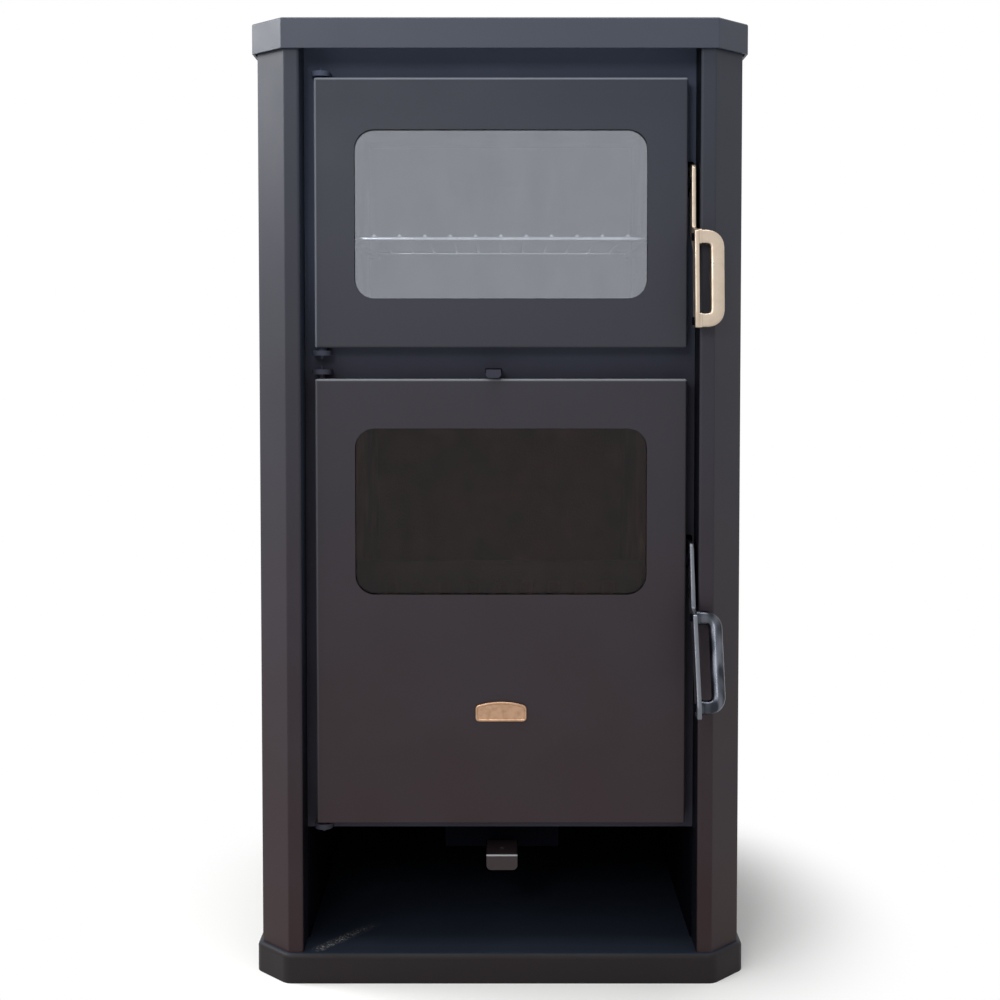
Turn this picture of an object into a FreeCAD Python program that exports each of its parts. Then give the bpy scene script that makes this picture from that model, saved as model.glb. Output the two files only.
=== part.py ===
import FreeCAD, Part
import math
import os

# A tall wood cookstove: oven above, firebox below, open wood store at the foot.
# Millimetres. X runs to the viewer's right, the front looks towards -Y, Z is up.
# Depths are counted backwards from the front edge of the cooktop cover.

# Case
CASE_WIDTH = 500.0
CASE_DEPTH = 460.0
CASE_HEIGHT = 968.0
COVER_SKIRT = 30.0
COVER_PLATE = 4.0
COVER_WALL = 2.5
BASE_HEIGHT = 30.0
BASE_WALL = 3.0
BASE_FLANGE = 15.0
CASE_OVERHANG = 5.0
FOLD_RADIUS = 2.0
BASE_FOLD_RADIUS = 5.0
BASE_BEND_RADIUS = 14.0
COLUMN_CHAMFER = 31.0
COLUMN_STRIP = 15.0
PANEL_SHEET = 2.0
PANEL_BEND = 3.0
REAR_FLANGE = 24.0

# Recessed front plate and the shell behind it
PLATE_SETBACK = 42.0
PLATE_THICKNESS = 4.0
PLATE_BOTTOM = 147.5
LINER_SHEET = 1.5
SHELL_SHEET = 4.0
SHELL_SIDE_GAP = 13.0
SHELL_BACK = 430.0

# Doors
DOOR_LEFT_GAP = 12.5
DOOR_RIGHT_GAP = 10.5
DOOR_THICKNESS = 19.0
DOOR_PLATE_GAP = 3.0
DOOR_SKIN = 3.0
DOOR_EDGE_RADIUS = 2.0
DOOR_CORNER_RADIUS = 2.2
OVEN_DOOR_DROP = 55.5
OVEN_DOOR_HEIGHT = 270.0
FIRE_DOOR_RISE = 10.0
DOOR_SPACING = 31.5
WINDOW_SIDE = 40.0
WINDOW_HEIGHT = 169.0
WINDOW_RADIUS = 20.0
OVEN_WINDOW_DROP = 51.5
FIRE_WINDOW_DROP = 50.0
GASKET_THICKNESS = 2.0
GASKET_LIP = 3.0
GLASS_THICKNESS = 4.0
GLASS_OVERLAP = 11.0
CLIP_WIDTH = 20.0
CLIP_POST = 7.0
CLIP_SHEET = 2.0
CLIP_REACH = 8.0
CLIP_END = 35.0
CLIP_SCREW_RADIUS = 2.0
ROPE_INSET = 16.0
ROPE_WIDTH = 10.0
ROPE_GROOVE = 6.0
ROPE_LAND = 3.0
ROPE_CRUSH_GAP = 0.4
MOUTH_RADIUS = 8.0
SHIELD_SHEET = 2.0
SHIELD_DEPTH = 13.0
SHIELD_TOP_GAP = 15.0
BADGE_WIDTH = 52.0
BADGE_HEIGHT = 20.5
BADGE_THICKNESS = 2.5
BADGE_DROP = 1.7
BADGE_RADIUS = 6.0
BADGE_RIM = 1.6

# Hinges
HINGE_INSET = 6.0
PIN_RADIUS = 3.0
PIN_TIP_RADIUS = 1.7
PIN_TIP = 3.5
PIN_REACH = 20.0
LUG_WIDTH = 19.0
LUG_THICKNESS = 5.0
OVEN_TOP_GAP = 2.0
OVEN_BOTTOM_GAP = 3.0
FIRE_TOP_GAP = 4.5
FIRE_BOTTOM_GAP = 1.6
WASHER_RADIUS = 5.2
RUNNING_CLEARANCE = 0.05
FACE_CLEARANCE = 0.3

# Latch levers and grips
STRAP_THICKNESS = 4.5
STRAP_OFFSET = 3.0
STRAP_WIDTH = 17.0
STRAP_TOP_FRONT = 14.0
STRAP_SHOULDER = 4.0
STRAP_FOOT = 12.0
STRAP_CORNER = 2.0
STRAP_LENGTH = 164.0
STRAP_NECK = 63.0
STRAP_KNEE = 68.0
STRAP_HEEL = 20.0
OVEN_NECK_SETBACK = 11.0
FIRE_NECK_SETBACK = 0.0
OVEN_KNEE_FORWARD = 12.0
FIRE_KNEE_FORWARD = 14.0
OVEN_GRIP_REACH = 20.0
FIRE_GRIP_REACH = 50.0
NOSE_LENGTH = 8.0
NOSE_HEIGHT = 10.0
OVEN_LEVER_RISE = 48.5
FIRE_LEVER_RISE = 61.0
PIVOT_DROP = 18.0
PIVOT_SETBACK = 27.0
LATCH_PIN_RADIUS = 4.0
LATCH_PIN_REACH = 12.0
LATCH_COLLAR_RADIUS = 7.0
LATCH_HEAD = 1.5
SLOT_SIDE_GAP = 1.5
SLOT_ABOVE = 5.5
SLOT_BELOW = 30.0
SLOT_CORNER = 3.0
GRIP_WIDTH = 25.0
OVEN_GRIP_HEIGHT = 96.5
FIRE_GRIP_HEIGHT = 102.0
GRIP_BAR = 14.0
GRIP_LEG = 13.0
GRIP_DEPTH = 12.0
GRIP_CORNER = 14.0
GRIP_INNER_CORNER = 5.0
GRIP_EDGE = 2.5
GRIP_SCREW_RADIUS = 2.0
GRIP_SCREW_HEAD = 2.0
GRIP_SCREW_REACH = 7.0

# Oven
OVEN_SHEET = 3.0
OVEN_DEPTH = 294.0
RACK_HEIGHT = 83.5
RAIL_SHEET = 3.0
RAIL_WIDTH = 12.0
RAIL_FRONT_GAP = 12.0
RAIL_LENGTH = 265.0
RACK_SIDE_GAP = 2.0
RACK_FRONT_GAP = 22.0
RACK_DEPTH = 250.0
RACK_FRAME_RADIUS = 2.5
RACK_WIRE_RADIUS = 1.8
RACK_WIRE_MARGIN = 20.0
RACK_PITCH = 26.2

# Firebox
FLOOR_SHEET = 4.0
RUNNER_WIDTH = 20.0
RUNNER_SPAN = 160.0
PAN_CLEARANCE = 1.5
PAN_WIDTH = 240.0
PAN_DEPTH = 270.0
PAN_HEIGHT = 84.0
PAN_SHEET = 1.5
PAN_SETBACK = 16.0
PAN_GRIP_WIDTH = 70.0
PAN_GRIP_HEIGHT = 12.0
GRATE_LEVEL = 312.0
GRATE_FRAME = 12.0
GRATE_WIDTH = 210.0
GRATE_DEPTH = 260.0
GRATE_SETBACK = 106.0
GRATE_THICKNESS = 8.0
GRATE_LEDGE = 10.0
GRATE_SLOTS = 9
GRATE_SLOT_WIDTH = 9.0
GRATE_SLOT_MARGIN = 22.0
BRICK_THICKNESS = 30.0
BRICK_TOP_GAP = 50.5
BRICK_SETBACK = 60.0
GUARD_HEIGHT = 107.0
GUARD_THICKNESS = 8.0
GUARD_SETBACK = 74.0
GUARD_SIDE_GAP = 4.0
GUARD_SLOTS = 9
GUARD_SLOT_WIDTH = 14.0
GUARD_RAIL = 20.0
BAFFLE_THICKNESS = 8.0
BAFFLE_DEPTH = 294.0

# Pull strips
DAMPER_X = -6.5
DAMPER_WIDTH = 15.0
DAMPER_SHEET = 2.5
DAMPER_LIP = 8.3
DAMPER_RISE = 9.3
DAMPER_FRONT = 12.0
DAMPER_FLAP_FRONT = 122.0
DAMPER_FLAP_DEPTH = 55.0
DAMPER_FLAP_WIDTH = 110.0
DAMPER_LAP = 9.0
GUIDE_LENGTH = 12.0
GUIDE_WALL = 4.0
AIR_X = 2.0
AIR_WIDTH = 32.0
AIR_SHEET = 3.0
AIR_LIP = 16.0
AIR_DROP = 30.5
AIR_FRONT = 44.0
AIR_FLAP_FRONT = 132.0
AIR_FLAP_DEPTH = 114.0
AIR_FLAP_WIDTH = 80.0
AIR_BOX_WIDTH = 120.0
AIR_BOX_FRONT = 88.0
AIR_BOX_DEPTH = 180.0
AIR_BOX_SHEET = 2.0
AIR_INLET_DEPTH = 34.0
AIR_INLET_WIDTH = 60.0
AIR_INLET_LAP = 9.0
AIR_HOLE_RADIUS = 3.0
AIR_HOLE_SETBACK = 66.0
AIR_LIP_CORNER = 5.0
STRIP_CLEARANCE = 1.0

# Flue spigot and screws
FLUE_RADIUS = 65.0
FLUE_WALL = 2.0
FLUE_RISE = 50.0
FLUE_SETBACK = 347.0
FLUE_TAIL = 10.0
FLUE_FLANGE = 20.0
FLUE_FLANGE_SHEET = 3.0
FLUE_SCREWS = 4
BACK_SCREWS = 4
SCREW_RADIUS = 2.0
SCREW_HEAD_RADIUS = 4.0
SCREW_HEAD = 2.5

# Worked out from the sizes above
CHAMFER_GROWTH = 2.0 - math.sqrt(2.0)
ORIGIN_SETBACK = (CASE_DEPTH - max(OVEN_GRIP_REACH, FIRE_GRIP_REACH)) / 2
CASE_HALF = CASE_WIDTH / 2
COLUMN_HALF = CASE_HALF - CASE_OVERHANG
STRIP_OUTER = COLUMN_HALF - COLUMN_CHAMFER
STRIP_INNER = STRIP_OUTER - COLUMN_STRIP
PLATE_BACK = PLATE_SETBACK + PLATE_THICKNESS
CASE_TOP = CASE_HEIGHT - COVER_PLATE
SHELL_OUTER = STRIP_INNER - SHELL_SIDE_GAP
SHELL_INNER = SHELL_OUTER - SHELL_SHEET
SHELL_END = SHELL_BACK - SHELL_SHEET
FLOOR_TOP = PLATE_BOTTOM + FLOOR_SHEET
DOOR_BACK = PLATE_SETBACK - DOOR_PLATE_GAP
DOOR_FRONT = DOOR_BACK - DOOR_THICKNESS
DOOR_LEFT = DOOR_LEFT_GAP - STRIP_INNER
DOOR_RIGHT = STRIP_INNER - DOOR_RIGHT_GAP
OVEN_DOOR_TOP = CASE_HEIGHT - OVEN_DOOR_DROP
OVEN_DOOR_BOTTOM = OVEN_DOOR_TOP - OVEN_DOOR_HEIGHT
FIRE_DOOR_TOP = OVEN_DOOR_BOTTOM - DOOR_SPACING
FIRE_DOOR_BOTTOM = PLATE_BOTTOM + FIRE_DOOR_RISE
WINDOW_WIDTH = DOOR_RIGHT - DOOR_LEFT - 2 * WINDOW_SIDE
DOOR_MIDDLE = (DOOR_LEFT + DOOR_RIGHT) / 2
DOOR_BAND = ROPE_INSET + ROPE_WIDTH + ROPE_LAND
MOUTH_LEFT = DOOR_LEFT + DOOR_BAND
MOUTH_RIGHT = DOOR_RIGHT - DOOR_BAND
SKIN_BACK = DOOR_FRONT + DOOR_SKIN
GLASS_FRONT = SKIN_BACK + GASKET_THICKNESS
GLASS_BACK = GLASS_FRONT + GLASS_THICKNESS
CLIP_BACK = GLASS_BACK + CLIP_SHEET
HINGE_X = DOOR_LEFT + HINGE_INSET
HINGE_SETBACK = (DOOR_FRONT + DOOR_BACK) / 2
STRAP_LEFT = DOOR_RIGHT + STRAP_OFFSET
STRAP_RIGHT = STRAP_LEFT + STRAP_THICKNESS
DAMPER_TOP = FIRE_DOOR_TOP + DAMPER_RISE
DAMPER_BOTTOM = DAMPER_TOP - DAMPER_SHEET
BAFFLE_TOP = DAMPER_BOTTOM - FACE_CLEARANCE
BRICK_TOP = BAFFLE_TOP - BAFFLE_THICKNESS - BRICK_TOP_GAP
AIR_TOP = PLATE_BOTTOM - AIR_DROP
AIR_BOTTOM = AIR_TOP - AIR_SHEET

ALONG_X = FreeCAD.Vector(1, 0, 0)
ALONG_Y = FreeCAD.Vector(0, 1, 0)
ALONG_Z = FreeCAD.Vector(0, 0, 1)


class Door:
    """Heights that belong to one door, its window, hinges and latch."""

    def __init__(self, bottom, top, window_drop, gaps, lever_rise, lean):
        self.bottom = bottom
        self.top = top
        self.window_top = top - window_drop
        self.window_bottom = self.window_top - WINDOW_HEIGHT
        self.mouth_bottom = bottom + DOOR_BAND
        self.mouth_top = self.top - DOOR_BAND
        self.top_gap, self.bottom_gap = gaps
        self.lever_top = (bottom + top) / 2 + lever_rise
        self.pivot = self.lever_top - PIVOT_DROP
        self.neck, self.knee, self.reach, self.grip_height = lean


OVEN = Door(OVEN_DOOR_BOTTOM, OVEN_DOOR_TOP, OVEN_WINDOW_DROP, (OVEN_TOP_GAP, OVEN_BOTTOM_GAP),
            OVEN_LEVER_RISE, (OVEN_NECK_SETBACK, OVEN_KNEE_FORWARD, OVEN_GRIP_REACH, OVEN_GRIP_HEIGHT))
FIRE = Door(FIRE_DOOR_BOTTOM, FIRE_DOOR_TOP, FIRE_WINDOW_DROP, (FIRE_TOP_GAP, FIRE_BOTTOM_GAP),
            FIRE_LEVER_RISE, (FIRE_NECK_SETBACK, FIRE_KNEE_FORWARD, FIRE_GRIP_REACH, FIRE_GRIP_HEIGHT))


def deep(setback):
    """Y of a place so far behind the front edge of the cover."""
    return setback - ORIGIN_SETBACK


def block(x0, x1, d0, d1, z0, z1):
    """Box between two X values, two depths and two heights."""
    return Part.makeBox(x1 - x0, d1 - d0, z1 - z0, FreeCAD.Vector(x0, deep(d0), z0))


def rod_x(x0, x1, d, z, radius):
    """Round bar along X."""
    return Part.makeCylinder(radius, x1 - x0, FreeCAD.Vector(x0, deep(d), z), ALONG_X)


def rod_y(d0, d1, x, z, radius):
    """Round bar from front to back."""
    return Part.makeCylinder(radius, d1 - d0, FreeCAD.Vector(x, deep(d0), z), ALONG_Y)


def rod_z(z0, z1, x, d, radius):
    """Upright round bar."""
    return Part.makeCylinder(radius, z1 - z0, FreeCAD.Vector(x, deep(d), z0), ALONG_Z)


def edges_along(shape, direction):
    """Straight edges of a shape that run along a direction."""
    straight = [edge for edge in shape.Edges if isinstance(edge.Curve, Part.Line)]
    return [edge for edge in straight if abs(abs(edge.Curve.Direction.dot(direction)) - 1) < 1e-6]


def edges_at(shape, spots):
    """Upright edges that stand at the given (x, depth) spots."""
    found = []
    for edge in edges_along(shape, ALONG_Z):
        place = edge.Vertexes[0].Point
        if any(math.hypot(place.x - x, place.y - deep(d)) < 1e-3 for x, d in spots):
            found.append(edge)
    return found


def rounded_block(x0, x1, d0, d1, z0, z1, radius):
    """Box whose four front-to-back edges are rounded."""
    shape = block(x0, x1, d0, d1, z0, z1)
    return shape.makeFillet(radius, edges_along(shape, ALONG_Y))


def frame_ring(outer, inner, d0, d1, radius):
    """Upright frame between two (x0, x1, z0, z1) rectangles, with rounded corners."""
    margin = outer[1] - inner[1]
    whole = rounded_block(outer[0], outer[1], d0, d1, outer[2], outer[3], radius)
    hole = rounded_block(inner[0], inner[1], d0, d1, inner[2], inner[3], max(radius - margin, 1.0))
    return whole.cut(hole)


def plan_prism(points, z0, z1):
    """Upright prism on an outline of (x, depth) points."""
    corners = [FreeCAD.Vector(x, deep(d), z0) for x, d in points]
    face = Part.Face(Part.makePolygon(corners + corners[:1]))
    return face.extrude(FreeCAD.Vector(0, 0, z1 - z0))


def side_prism(points, x0, x1):
    """Prism along X on an outline of (depth, height) points."""
    corners = [FreeCAD.Vector(x0, deep(d), z) for d, z in points]
    face = Part.Face(Part.makePolygon(corners + corners[:1]))
    return face.extrude(FreeCAD.Vector(x1 - x0, 0, 0))


def inset(rectangle, margin):
    """Rectangle (x0, x1, z0, z1) drawn in by a margin on every side."""
    x0, x1, z0, z1 = rectangle
    return (x0 + margin, x1 - margin, z0 + margin, z1 - margin)


def joined(shapes):
    """Several overlapping or touching solids fused into one."""
    return shapes[0].multiFuse(shapes[1:]).removeSplitter()


def case_outline(margin):
    """Plan of the cover and base, front corners cut off, drawn in by a margin."""
    half = CASE_HALF - margin
    chamfer = COLUMN_CHAMFER + (CASE_OVERHANG - margin) * CHAMFER_GROWTH
    front = margin
    back = CASE_DEPTH - margin
    right = [(half - chamfer, front), (half, front + chamfer), (half, back)]
    return [(-x, d) for x, d in reversed(right)] + right


def offset_right(points, distance):
    """Open (x, depth) line moved to its right-hand side, with mitred corners."""
    normals = []
    for (x0, d0), (x1, d1) in zip(points, points[1:]):
        length = math.hypot(x1 - x0, d1 - d0)
        normals.append(((d1 - d0) / length, (x0 - x1) / length))
    moved = []
    for index, (x, d) in enumerate(points):
        before = normals[max(index - 1, 0)]
        after = normals[min(index, len(normals) - 1)]
        share = distance / (1 + before[0] * after[0] + before[1] * after[1])
        moved.append((x + share * (before[0] + after[0]), d + share * (before[1] + after[1])))
    return moved


def bent_sheet(points, thickness, radius, side, z0, z1):
    """Upright folded sheet along a line; side -1 mirrors it to the left."""
    inner = offset_right(points, thickness)
    outline = [(side * x, d) for x, d in points + inner[::-1]]
    sheet = plan_prism(outline, z0, z1)
    sheet = sheet.makeFillet(radius, edges_at(sheet, [(side * x, d) for x, d in points[1:-1]]))
    return sheet.makeFillet(radius - thickness, edges_at(sheet, [(side * x, d) for x, d in inner[1:-1]]))


def folded_tray(z0, z1, radius):
    """Solid of the case outline with its upper and upright edges rounded."""
    shape = plan_prism(case_outline(0.0), z0, z1)
    return shape.makeFillet(radius, [edge for edge in shape.Edges if edge.BoundBox.ZMax > (z0 + z1) / 2])


def flue_screw_places():
    """Centres of the flange screws round the flue, as (x, depth)."""
    reach = FLUE_RADIUS + FLUE_FLANGE / 2
    turns = [math.pi * (2 * index + 1) / FLUE_SCREWS for index in range(FLUE_SCREWS)]
    return [(reach * math.cos(turn), FLUE_SETBACK + reach * math.sin(turn)) for turn in turns]


def back_screw_places():
    """Centres of the screws down both rear flanges, as (x, z)."""
    step = (CASE_TOP - BASE_HEIGHT) / BACK_SCREWS
    heights = [BASE_HEIGHT + step * (index + 0.5) for index in range(BACK_SCREWS)]
    reach = COLUMN_HALF - REAR_FLANGE / 2
    return [(x, z) for x in (-reach, reach) for z in heights]


def base_tray():
    """Upturned tray with softly bent front corners and a flange folded in at the floor."""
    shell = plan_prism(case_outline(0.0), 0.0, BASE_HEIGHT)
    bends = [edge for edge in edges_along(shell, ALONG_Z) if edge.BoundBox.YMax < 0]
    shell = shell.makeFillet(BASE_BEND_RADIUS, bends)
    folds = [edge for edge in edges_along(shell, ALONG_Z) if edge.BoundBox.YMin > 0]
    folds += [edge for edge in shell.Edges if edge.BoundBox.ZMin > BASE_HEIGHT / 2]
    shell = shell.makeFillet(BASE_FOLD_RADIUS, folds)
    shell = shell.cut(plan_prism(case_outline(BASE_WALL), BASE_WALL, BASE_HEIGHT - BASE_WALL))
    return shell.cut(plan_prism(case_outline(BASE_FLANGE), 0.0, BASE_WALL))


def cooktop_cover():
    """Top plate with a skirt folded down, and the hole for the flue."""
    skirt = CASE_HEIGHT - COVER_SKIRT
    shell = folded_tray(skirt, CASE_HEIGHT, FOLD_RADIUS)
    shell = shell.cut(plan_prism(case_outline(COVER_WALL), skirt, CASE_TOP))
    shell = shell.cut(rod_z(CASE_TOP, CASE_HEIGHT, 0.0, FLUE_SETBACK, FLUE_RADIUS + FACE_CLEARANCE))
    for x, d in flue_screw_places():
        shell = shell.cut(rod_z(CASE_TOP, CASE_HEIGHT, x, d, SCREW_RADIUS))
    return shell


def side_panel(side):
    """Bent sheet: rear flange, side, slanted corner, front strip and return to the plate."""
    rear = CASE_DEPTH - CASE_OVERHANG
    line = [
        (COLUMN_HALF - REAR_FLANGE, rear),
        (COLUMN_HALF, rear),
        (COLUMN_HALF, CASE_OVERHANG + COLUMN_CHAMFER),
        (STRIP_OUTER, CASE_OVERHANG),
        (STRIP_INNER, CASE_OVERHANG),
        (STRIP_INNER, PLATE_BACK),
    ]
    panel = bent_sheet(line, PANEL_SHEET, PANEL_BEND, side, BASE_HEIGHT, CASE_TOP)
    for x, z in back_screw_places():
        if x * side > 0:
            panel = panel.cut(rod_y(rear - PANEL_SHEET, rear, x, z, SCREW_RADIUS))
    return panel


def back_panel():
    """Flat rear sheet lying inside the rear flanges."""
    rear = CASE_DEPTH - CASE_OVERHANG - PANEL_SHEET
    half = COLUMN_HALF - PANEL_BEND - FACE_CLEARANCE
    panel = block(-half, half, rear - PANEL_SHEET, rear, BASE_HEIGHT, CASE_TOP)
    for x, z in back_screw_places():
        panel = panel.cut(rod_y(rear - PANEL_SHEET, rear, x, z, SCREW_RADIUS))
    return panel


def back_screws():
    """Pan-head screws through the rear flanges into the back panel."""
    rear = CASE_DEPTH - CASE_OVERHANG
    screws = []
    for x, z in back_screw_places():
        head = rod_y(rear, rear + SCREW_HEAD, x, z, SCREW_HEAD_RADIUS)
        shank = rod_y(rear - 2 * PANEL_SHEET, rear, x, z, SCREW_RADIUS)
        screws.append(joined([head, shank]))
    return Part.makeCompound(screws)


def front_plate():
    """Recessed plate with the two mouths, the latch slots and the damper slot."""
    plate = block(-STRIP_INNER, STRIP_INNER, PLATE_SETBACK, PLATE_BACK, PLATE_BOTTOM, CASE_TOP)
    left = STRAP_LEFT - SLOT_SIDE_GAP
    right = STRAP_RIGHT + SLOT_SIDE_GAP
    for door in (OVEN, FIRE):
        plate = plate.cut(rounded_block(MOUTH_LEFT, MOUTH_RIGHT, PLATE_SETBACK, PLATE_BACK,
                                        door.mouth_bottom, door.mouth_top, MOUTH_RADIUS))
        plate = plate.cut(rounded_block(left, right, PLATE_SETBACK, PLATE_BACK, door.lever_top - SLOT_BELOW,
                                        door.lever_top + SLOT_ABOVE, SLOT_CORNER))
    reach = DAMPER_WIDTH / 2 + STRIP_CLEARANCE
    return plate.cut(block(DAMPER_X - reach, DAMPER_X + reach, PLATE_SETBACK, PLATE_BACK,
                           DAMPER_BOTTOM - STRIP_CLEARANCE, DAMPER_TOP + STRIP_CLEARANCE))


def wood_store_liner():
    """Sheet folded round the sides and back of the wood store."""
    line = [
        (STRIP_INNER, PLATE_BACK),
        (STRIP_INNER, SHELL_BACK),
        (-STRIP_INNER, SHELL_BACK),
        (-STRIP_INNER, PLATE_BACK),
    ]
    outer = offset_right(line, -LINER_SHEET)
    return plan_prism(line + outer[::-1], BASE_HEIGHT, PLATE_BOTTOM)


def flue_spigot():
    """Collar through the cover with a flange that lies on it."""
    tube = rod_z(CASE_TOP - FLUE_TAIL, CASE_HEIGHT + FLUE_RISE, 0.0, FLUE_SETBACK, FLUE_RADIUS)
    reach = FLUE_RADIUS + FLUE_FLANGE
    flange = rod_z(CASE_HEIGHT, CASE_HEIGHT + FLUE_FLANGE_SHEET, 0.0, FLUE_SETBACK, reach)
    bore = rod_z(CASE_TOP - FLUE_TAIL, CASE_HEIGHT + FLUE_RISE, 0.0, FLUE_SETBACK, FLUE_RADIUS - FLUE_WALL)
    spigot = joined([tube, flange]).cut(bore)
    for x, d in flue_screw_places():
        spigot = spigot.cut(rod_z(CASE_HEIGHT, CASE_HEIGHT + FLUE_FLANGE_SHEET, x, d, SCREW_RADIUS))
    return spigot


def flue_screws():
    """Screws through the flue flange and the cover."""
    seat = CASE_HEIGHT + FLUE_FLANGE_SHEET
    screws = []
    for x, d in flue_screw_places():
        head = rod_z(seat, seat + SCREW_HEAD, x, d, SCREW_HEAD_RADIUS)
        shank = rod_z(CASE_TOP, seat, x, d, SCREW_RADIUS)
        screws.append(joined([head, shank]))
    return Part.makeCompound(screws)


def firebox_floor():
    """Plate between firebox and wood store, with the air hole."""
    half = STRIP_INNER + LINER_SHEET
    plate = block(-half, half, PLATE_BACK, SHELL_BACK + LINER_SHEET, PLATE_BOTTOM, FLOOR_TOP)
    front = AIR_BOX_FRONT + AIR_BOX_SHEET + AIR_INLET_DEPTH / 2
    reach = AIR_INLET_WIDTH / 2
    return plate.cut(block(AIR_X - reach, AIR_X + reach, front, front + AIR_INLET_DEPTH,
                           PLATE_BOTTOM, FLOOR_TOP))


def side_inner_wall(side):
    """Upright inner wall beside the firebox and oven."""
    low, high = sorted((side * SHELL_INNER, side * SHELL_OUTER))
    return block(low, high, PLATE_BACK, SHELL_END, FLOOR_TOP, CASE_TOP)


def back_inner_wall():
    """Inner wall behind the firebox and oven."""
    return block(-SHELL_OUTER, SHELL_OUTER, SHELL_END, SHELL_BACK, FLOOR_TOP, CASE_TOP)


def oven_box():
    """Five-sided box behind the upper mouth."""
    back = PLATE_BACK + OVEN_DEPTH
    outer = block(MOUTH_LEFT - OVEN_SHEET, MOUTH_RIGHT + OVEN_SHEET, PLATE_BACK, back,
                  OVEN.mouth_bottom - OVEN_SHEET, OVEN.mouth_top + OVEN_SHEET)
    return outer.cut(block(MOUTH_LEFT, MOUTH_RIGHT, PLATE_BACK, back - OVEN_SHEET,
                           OVEN.mouth_bottom, OVEN.mouth_top))


def oven_rack_rails():
    """Two ledges on the oven's side walls."""
    front = PLATE_BACK + RAIL_FRONT_GAP
    top = OVEN.mouth_bottom + RACK_HEIGHT - RACK_FRAME_RADIUS
    left = block(MOUTH_LEFT, MOUTH_LEFT + RAIL_WIDTH, front, front + RAIL_LENGTH, top - RAIL_SHEET, top)
    right = block(MOUTH_RIGHT - RAIL_WIDTH, MOUTH_RIGHT, front, front + RAIL_LENGTH, top - RAIL_SHEET, top)
    return Part.makeCompound([left, right])


def oven_rack():
    """Wire rack: a frame of thicker bars with cross wires welded on top."""
    left = MOUTH_LEFT + RACK_SIDE_GAP + RACK_FRAME_RADIUS
    right = MOUTH_RIGHT - RACK_SIDE_GAP - RACK_FRAME_RADIUS
    front = PLATE_BACK + RACK_FRONT_GAP
    back = front + RACK_DEPTH
    level = OVEN.mouth_bottom + RACK_HEIGHT
    bars = [rod_x(left, right, d, level, RACK_FRAME_RADIUS) for d in (front, back)]
    bars += [rod_y(front, back, x, level, RACK_FRAME_RADIUS) for x in (left, right)]
    gaps = int((right - left - 2 * RACK_WIRE_MARGIN) / RACK_PITCH)
    first = DOOR_MIDDLE - RACK_PITCH * gaps / 2
    wire_level = level + RACK_FRAME_RADIUS
    for index in range(gaps + 1):
        bars.append(rod_y(front - RACK_WIRE_RADIUS, back + RACK_WIRE_RADIUS, first + index * RACK_PITCH,
                          wire_level, RACK_WIRE_RADIUS))
    return joined(bars)


def baffle_plate():
    """Plate over the fire with the opening that the damper covers."""
    plate = block(-SHELL_INNER, SHELL_INNER, PLATE_BACK, PLATE_BACK + BAFFLE_DEPTH,
                  BAFFLE_TOP - BAFFLE_THICKNESS, BAFFLE_TOP)
    reach = DAMPER_FLAP_WIDTH / 2 - DAMPER_LAP
    front = DAMPER_FLAP_FRONT + DAMPER_LAP
    back = DAMPER_FLAP_FRONT + DAMPER_FLAP_DEPTH - DAMPER_LAP
    return plate.cut(block(DAMPER_X - reach, DAMPER_X + reach, front, back,
                           BAFFLE_TOP - BAFFLE_THICKNESS, BAFFLE_TOP))


def side_firebrick(side):
    """Slab of firebrick against a side wall, standing on the grate frame."""
    low, high = sorted((side * SHELL_INNER, side * (SHELL_INNER - BRICK_THICKNESS)))
    return block(low, high, BRICK_SETBACK, SHELL_END - BRICK_THICKNESS, GRATE_LEVEL, BRICK_TOP)


def rear_firebrick():
    """Slab of firebrick against the back wall."""
    return block(-SHELL_INNER, SHELL_INNER, SHELL_END - BRICK_THICKNESS, SHELL_END,
                 GRATE_LEVEL, BRICK_TOP)


def grate_frame():
    """Cast shelf across the firebox with a stepped opening for the grate."""
    bottom = GRATE_LEVEL - GRATE_FRAME
    shelf = block(-SHELL_INNER, SHELL_INNER, PLATE_BACK, SHELL_END, bottom, GRATE_LEVEL)
    half = GRATE_WIDTH / 2 + FACE_CLEARANCE
    front = GRATE_SETBACK - FACE_CLEARANCE
    back = GRATE_SETBACK + GRATE_DEPTH + FACE_CLEARANCE
    shelf = shelf.cut(block(-half, half, front, back, GRATE_LEVEL - GRATE_THICKNESS, GRATE_LEVEL))
    return shelf.cut(block(-half + GRATE_LEDGE, half - GRATE_LEDGE, front + GRATE_LEDGE, back - GRATE_LEDGE,
                           bottom, GRATE_LEVEL))


def fire_grate():
    """Cast grate with slots from front to back."""
    half = GRATE_WIDTH / 2
    bottom = GRATE_LEVEL - GRATE_THICKNESS
    grate = block(-half, half, GRATE_SETBACK, GRATE_SETBACK + GRATE_DEPTH, bottom, GRATE_LEVEL)
    step = (GRATE_WIDTH - 2 * GRATE_LEDGE) / GRATE_SLOTS
    for index in range(GRATE_SLOTS):
        left = -half + GRATE_LEDGE + (index + 0.5) * step - GRATE_SLOT_WIDTH / 2
        grate = grate.cut(block(left, left + GRATE_SLOT_WIDTH, GRATE_SETBACK + GRATE_SLOT_MARGIN,
                                GRATE_SETBACK + GRATE_DEPTH - GRATE_SLOT_MARGIN, bottom, GRATE_LEVEL))
    return grate


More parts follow.
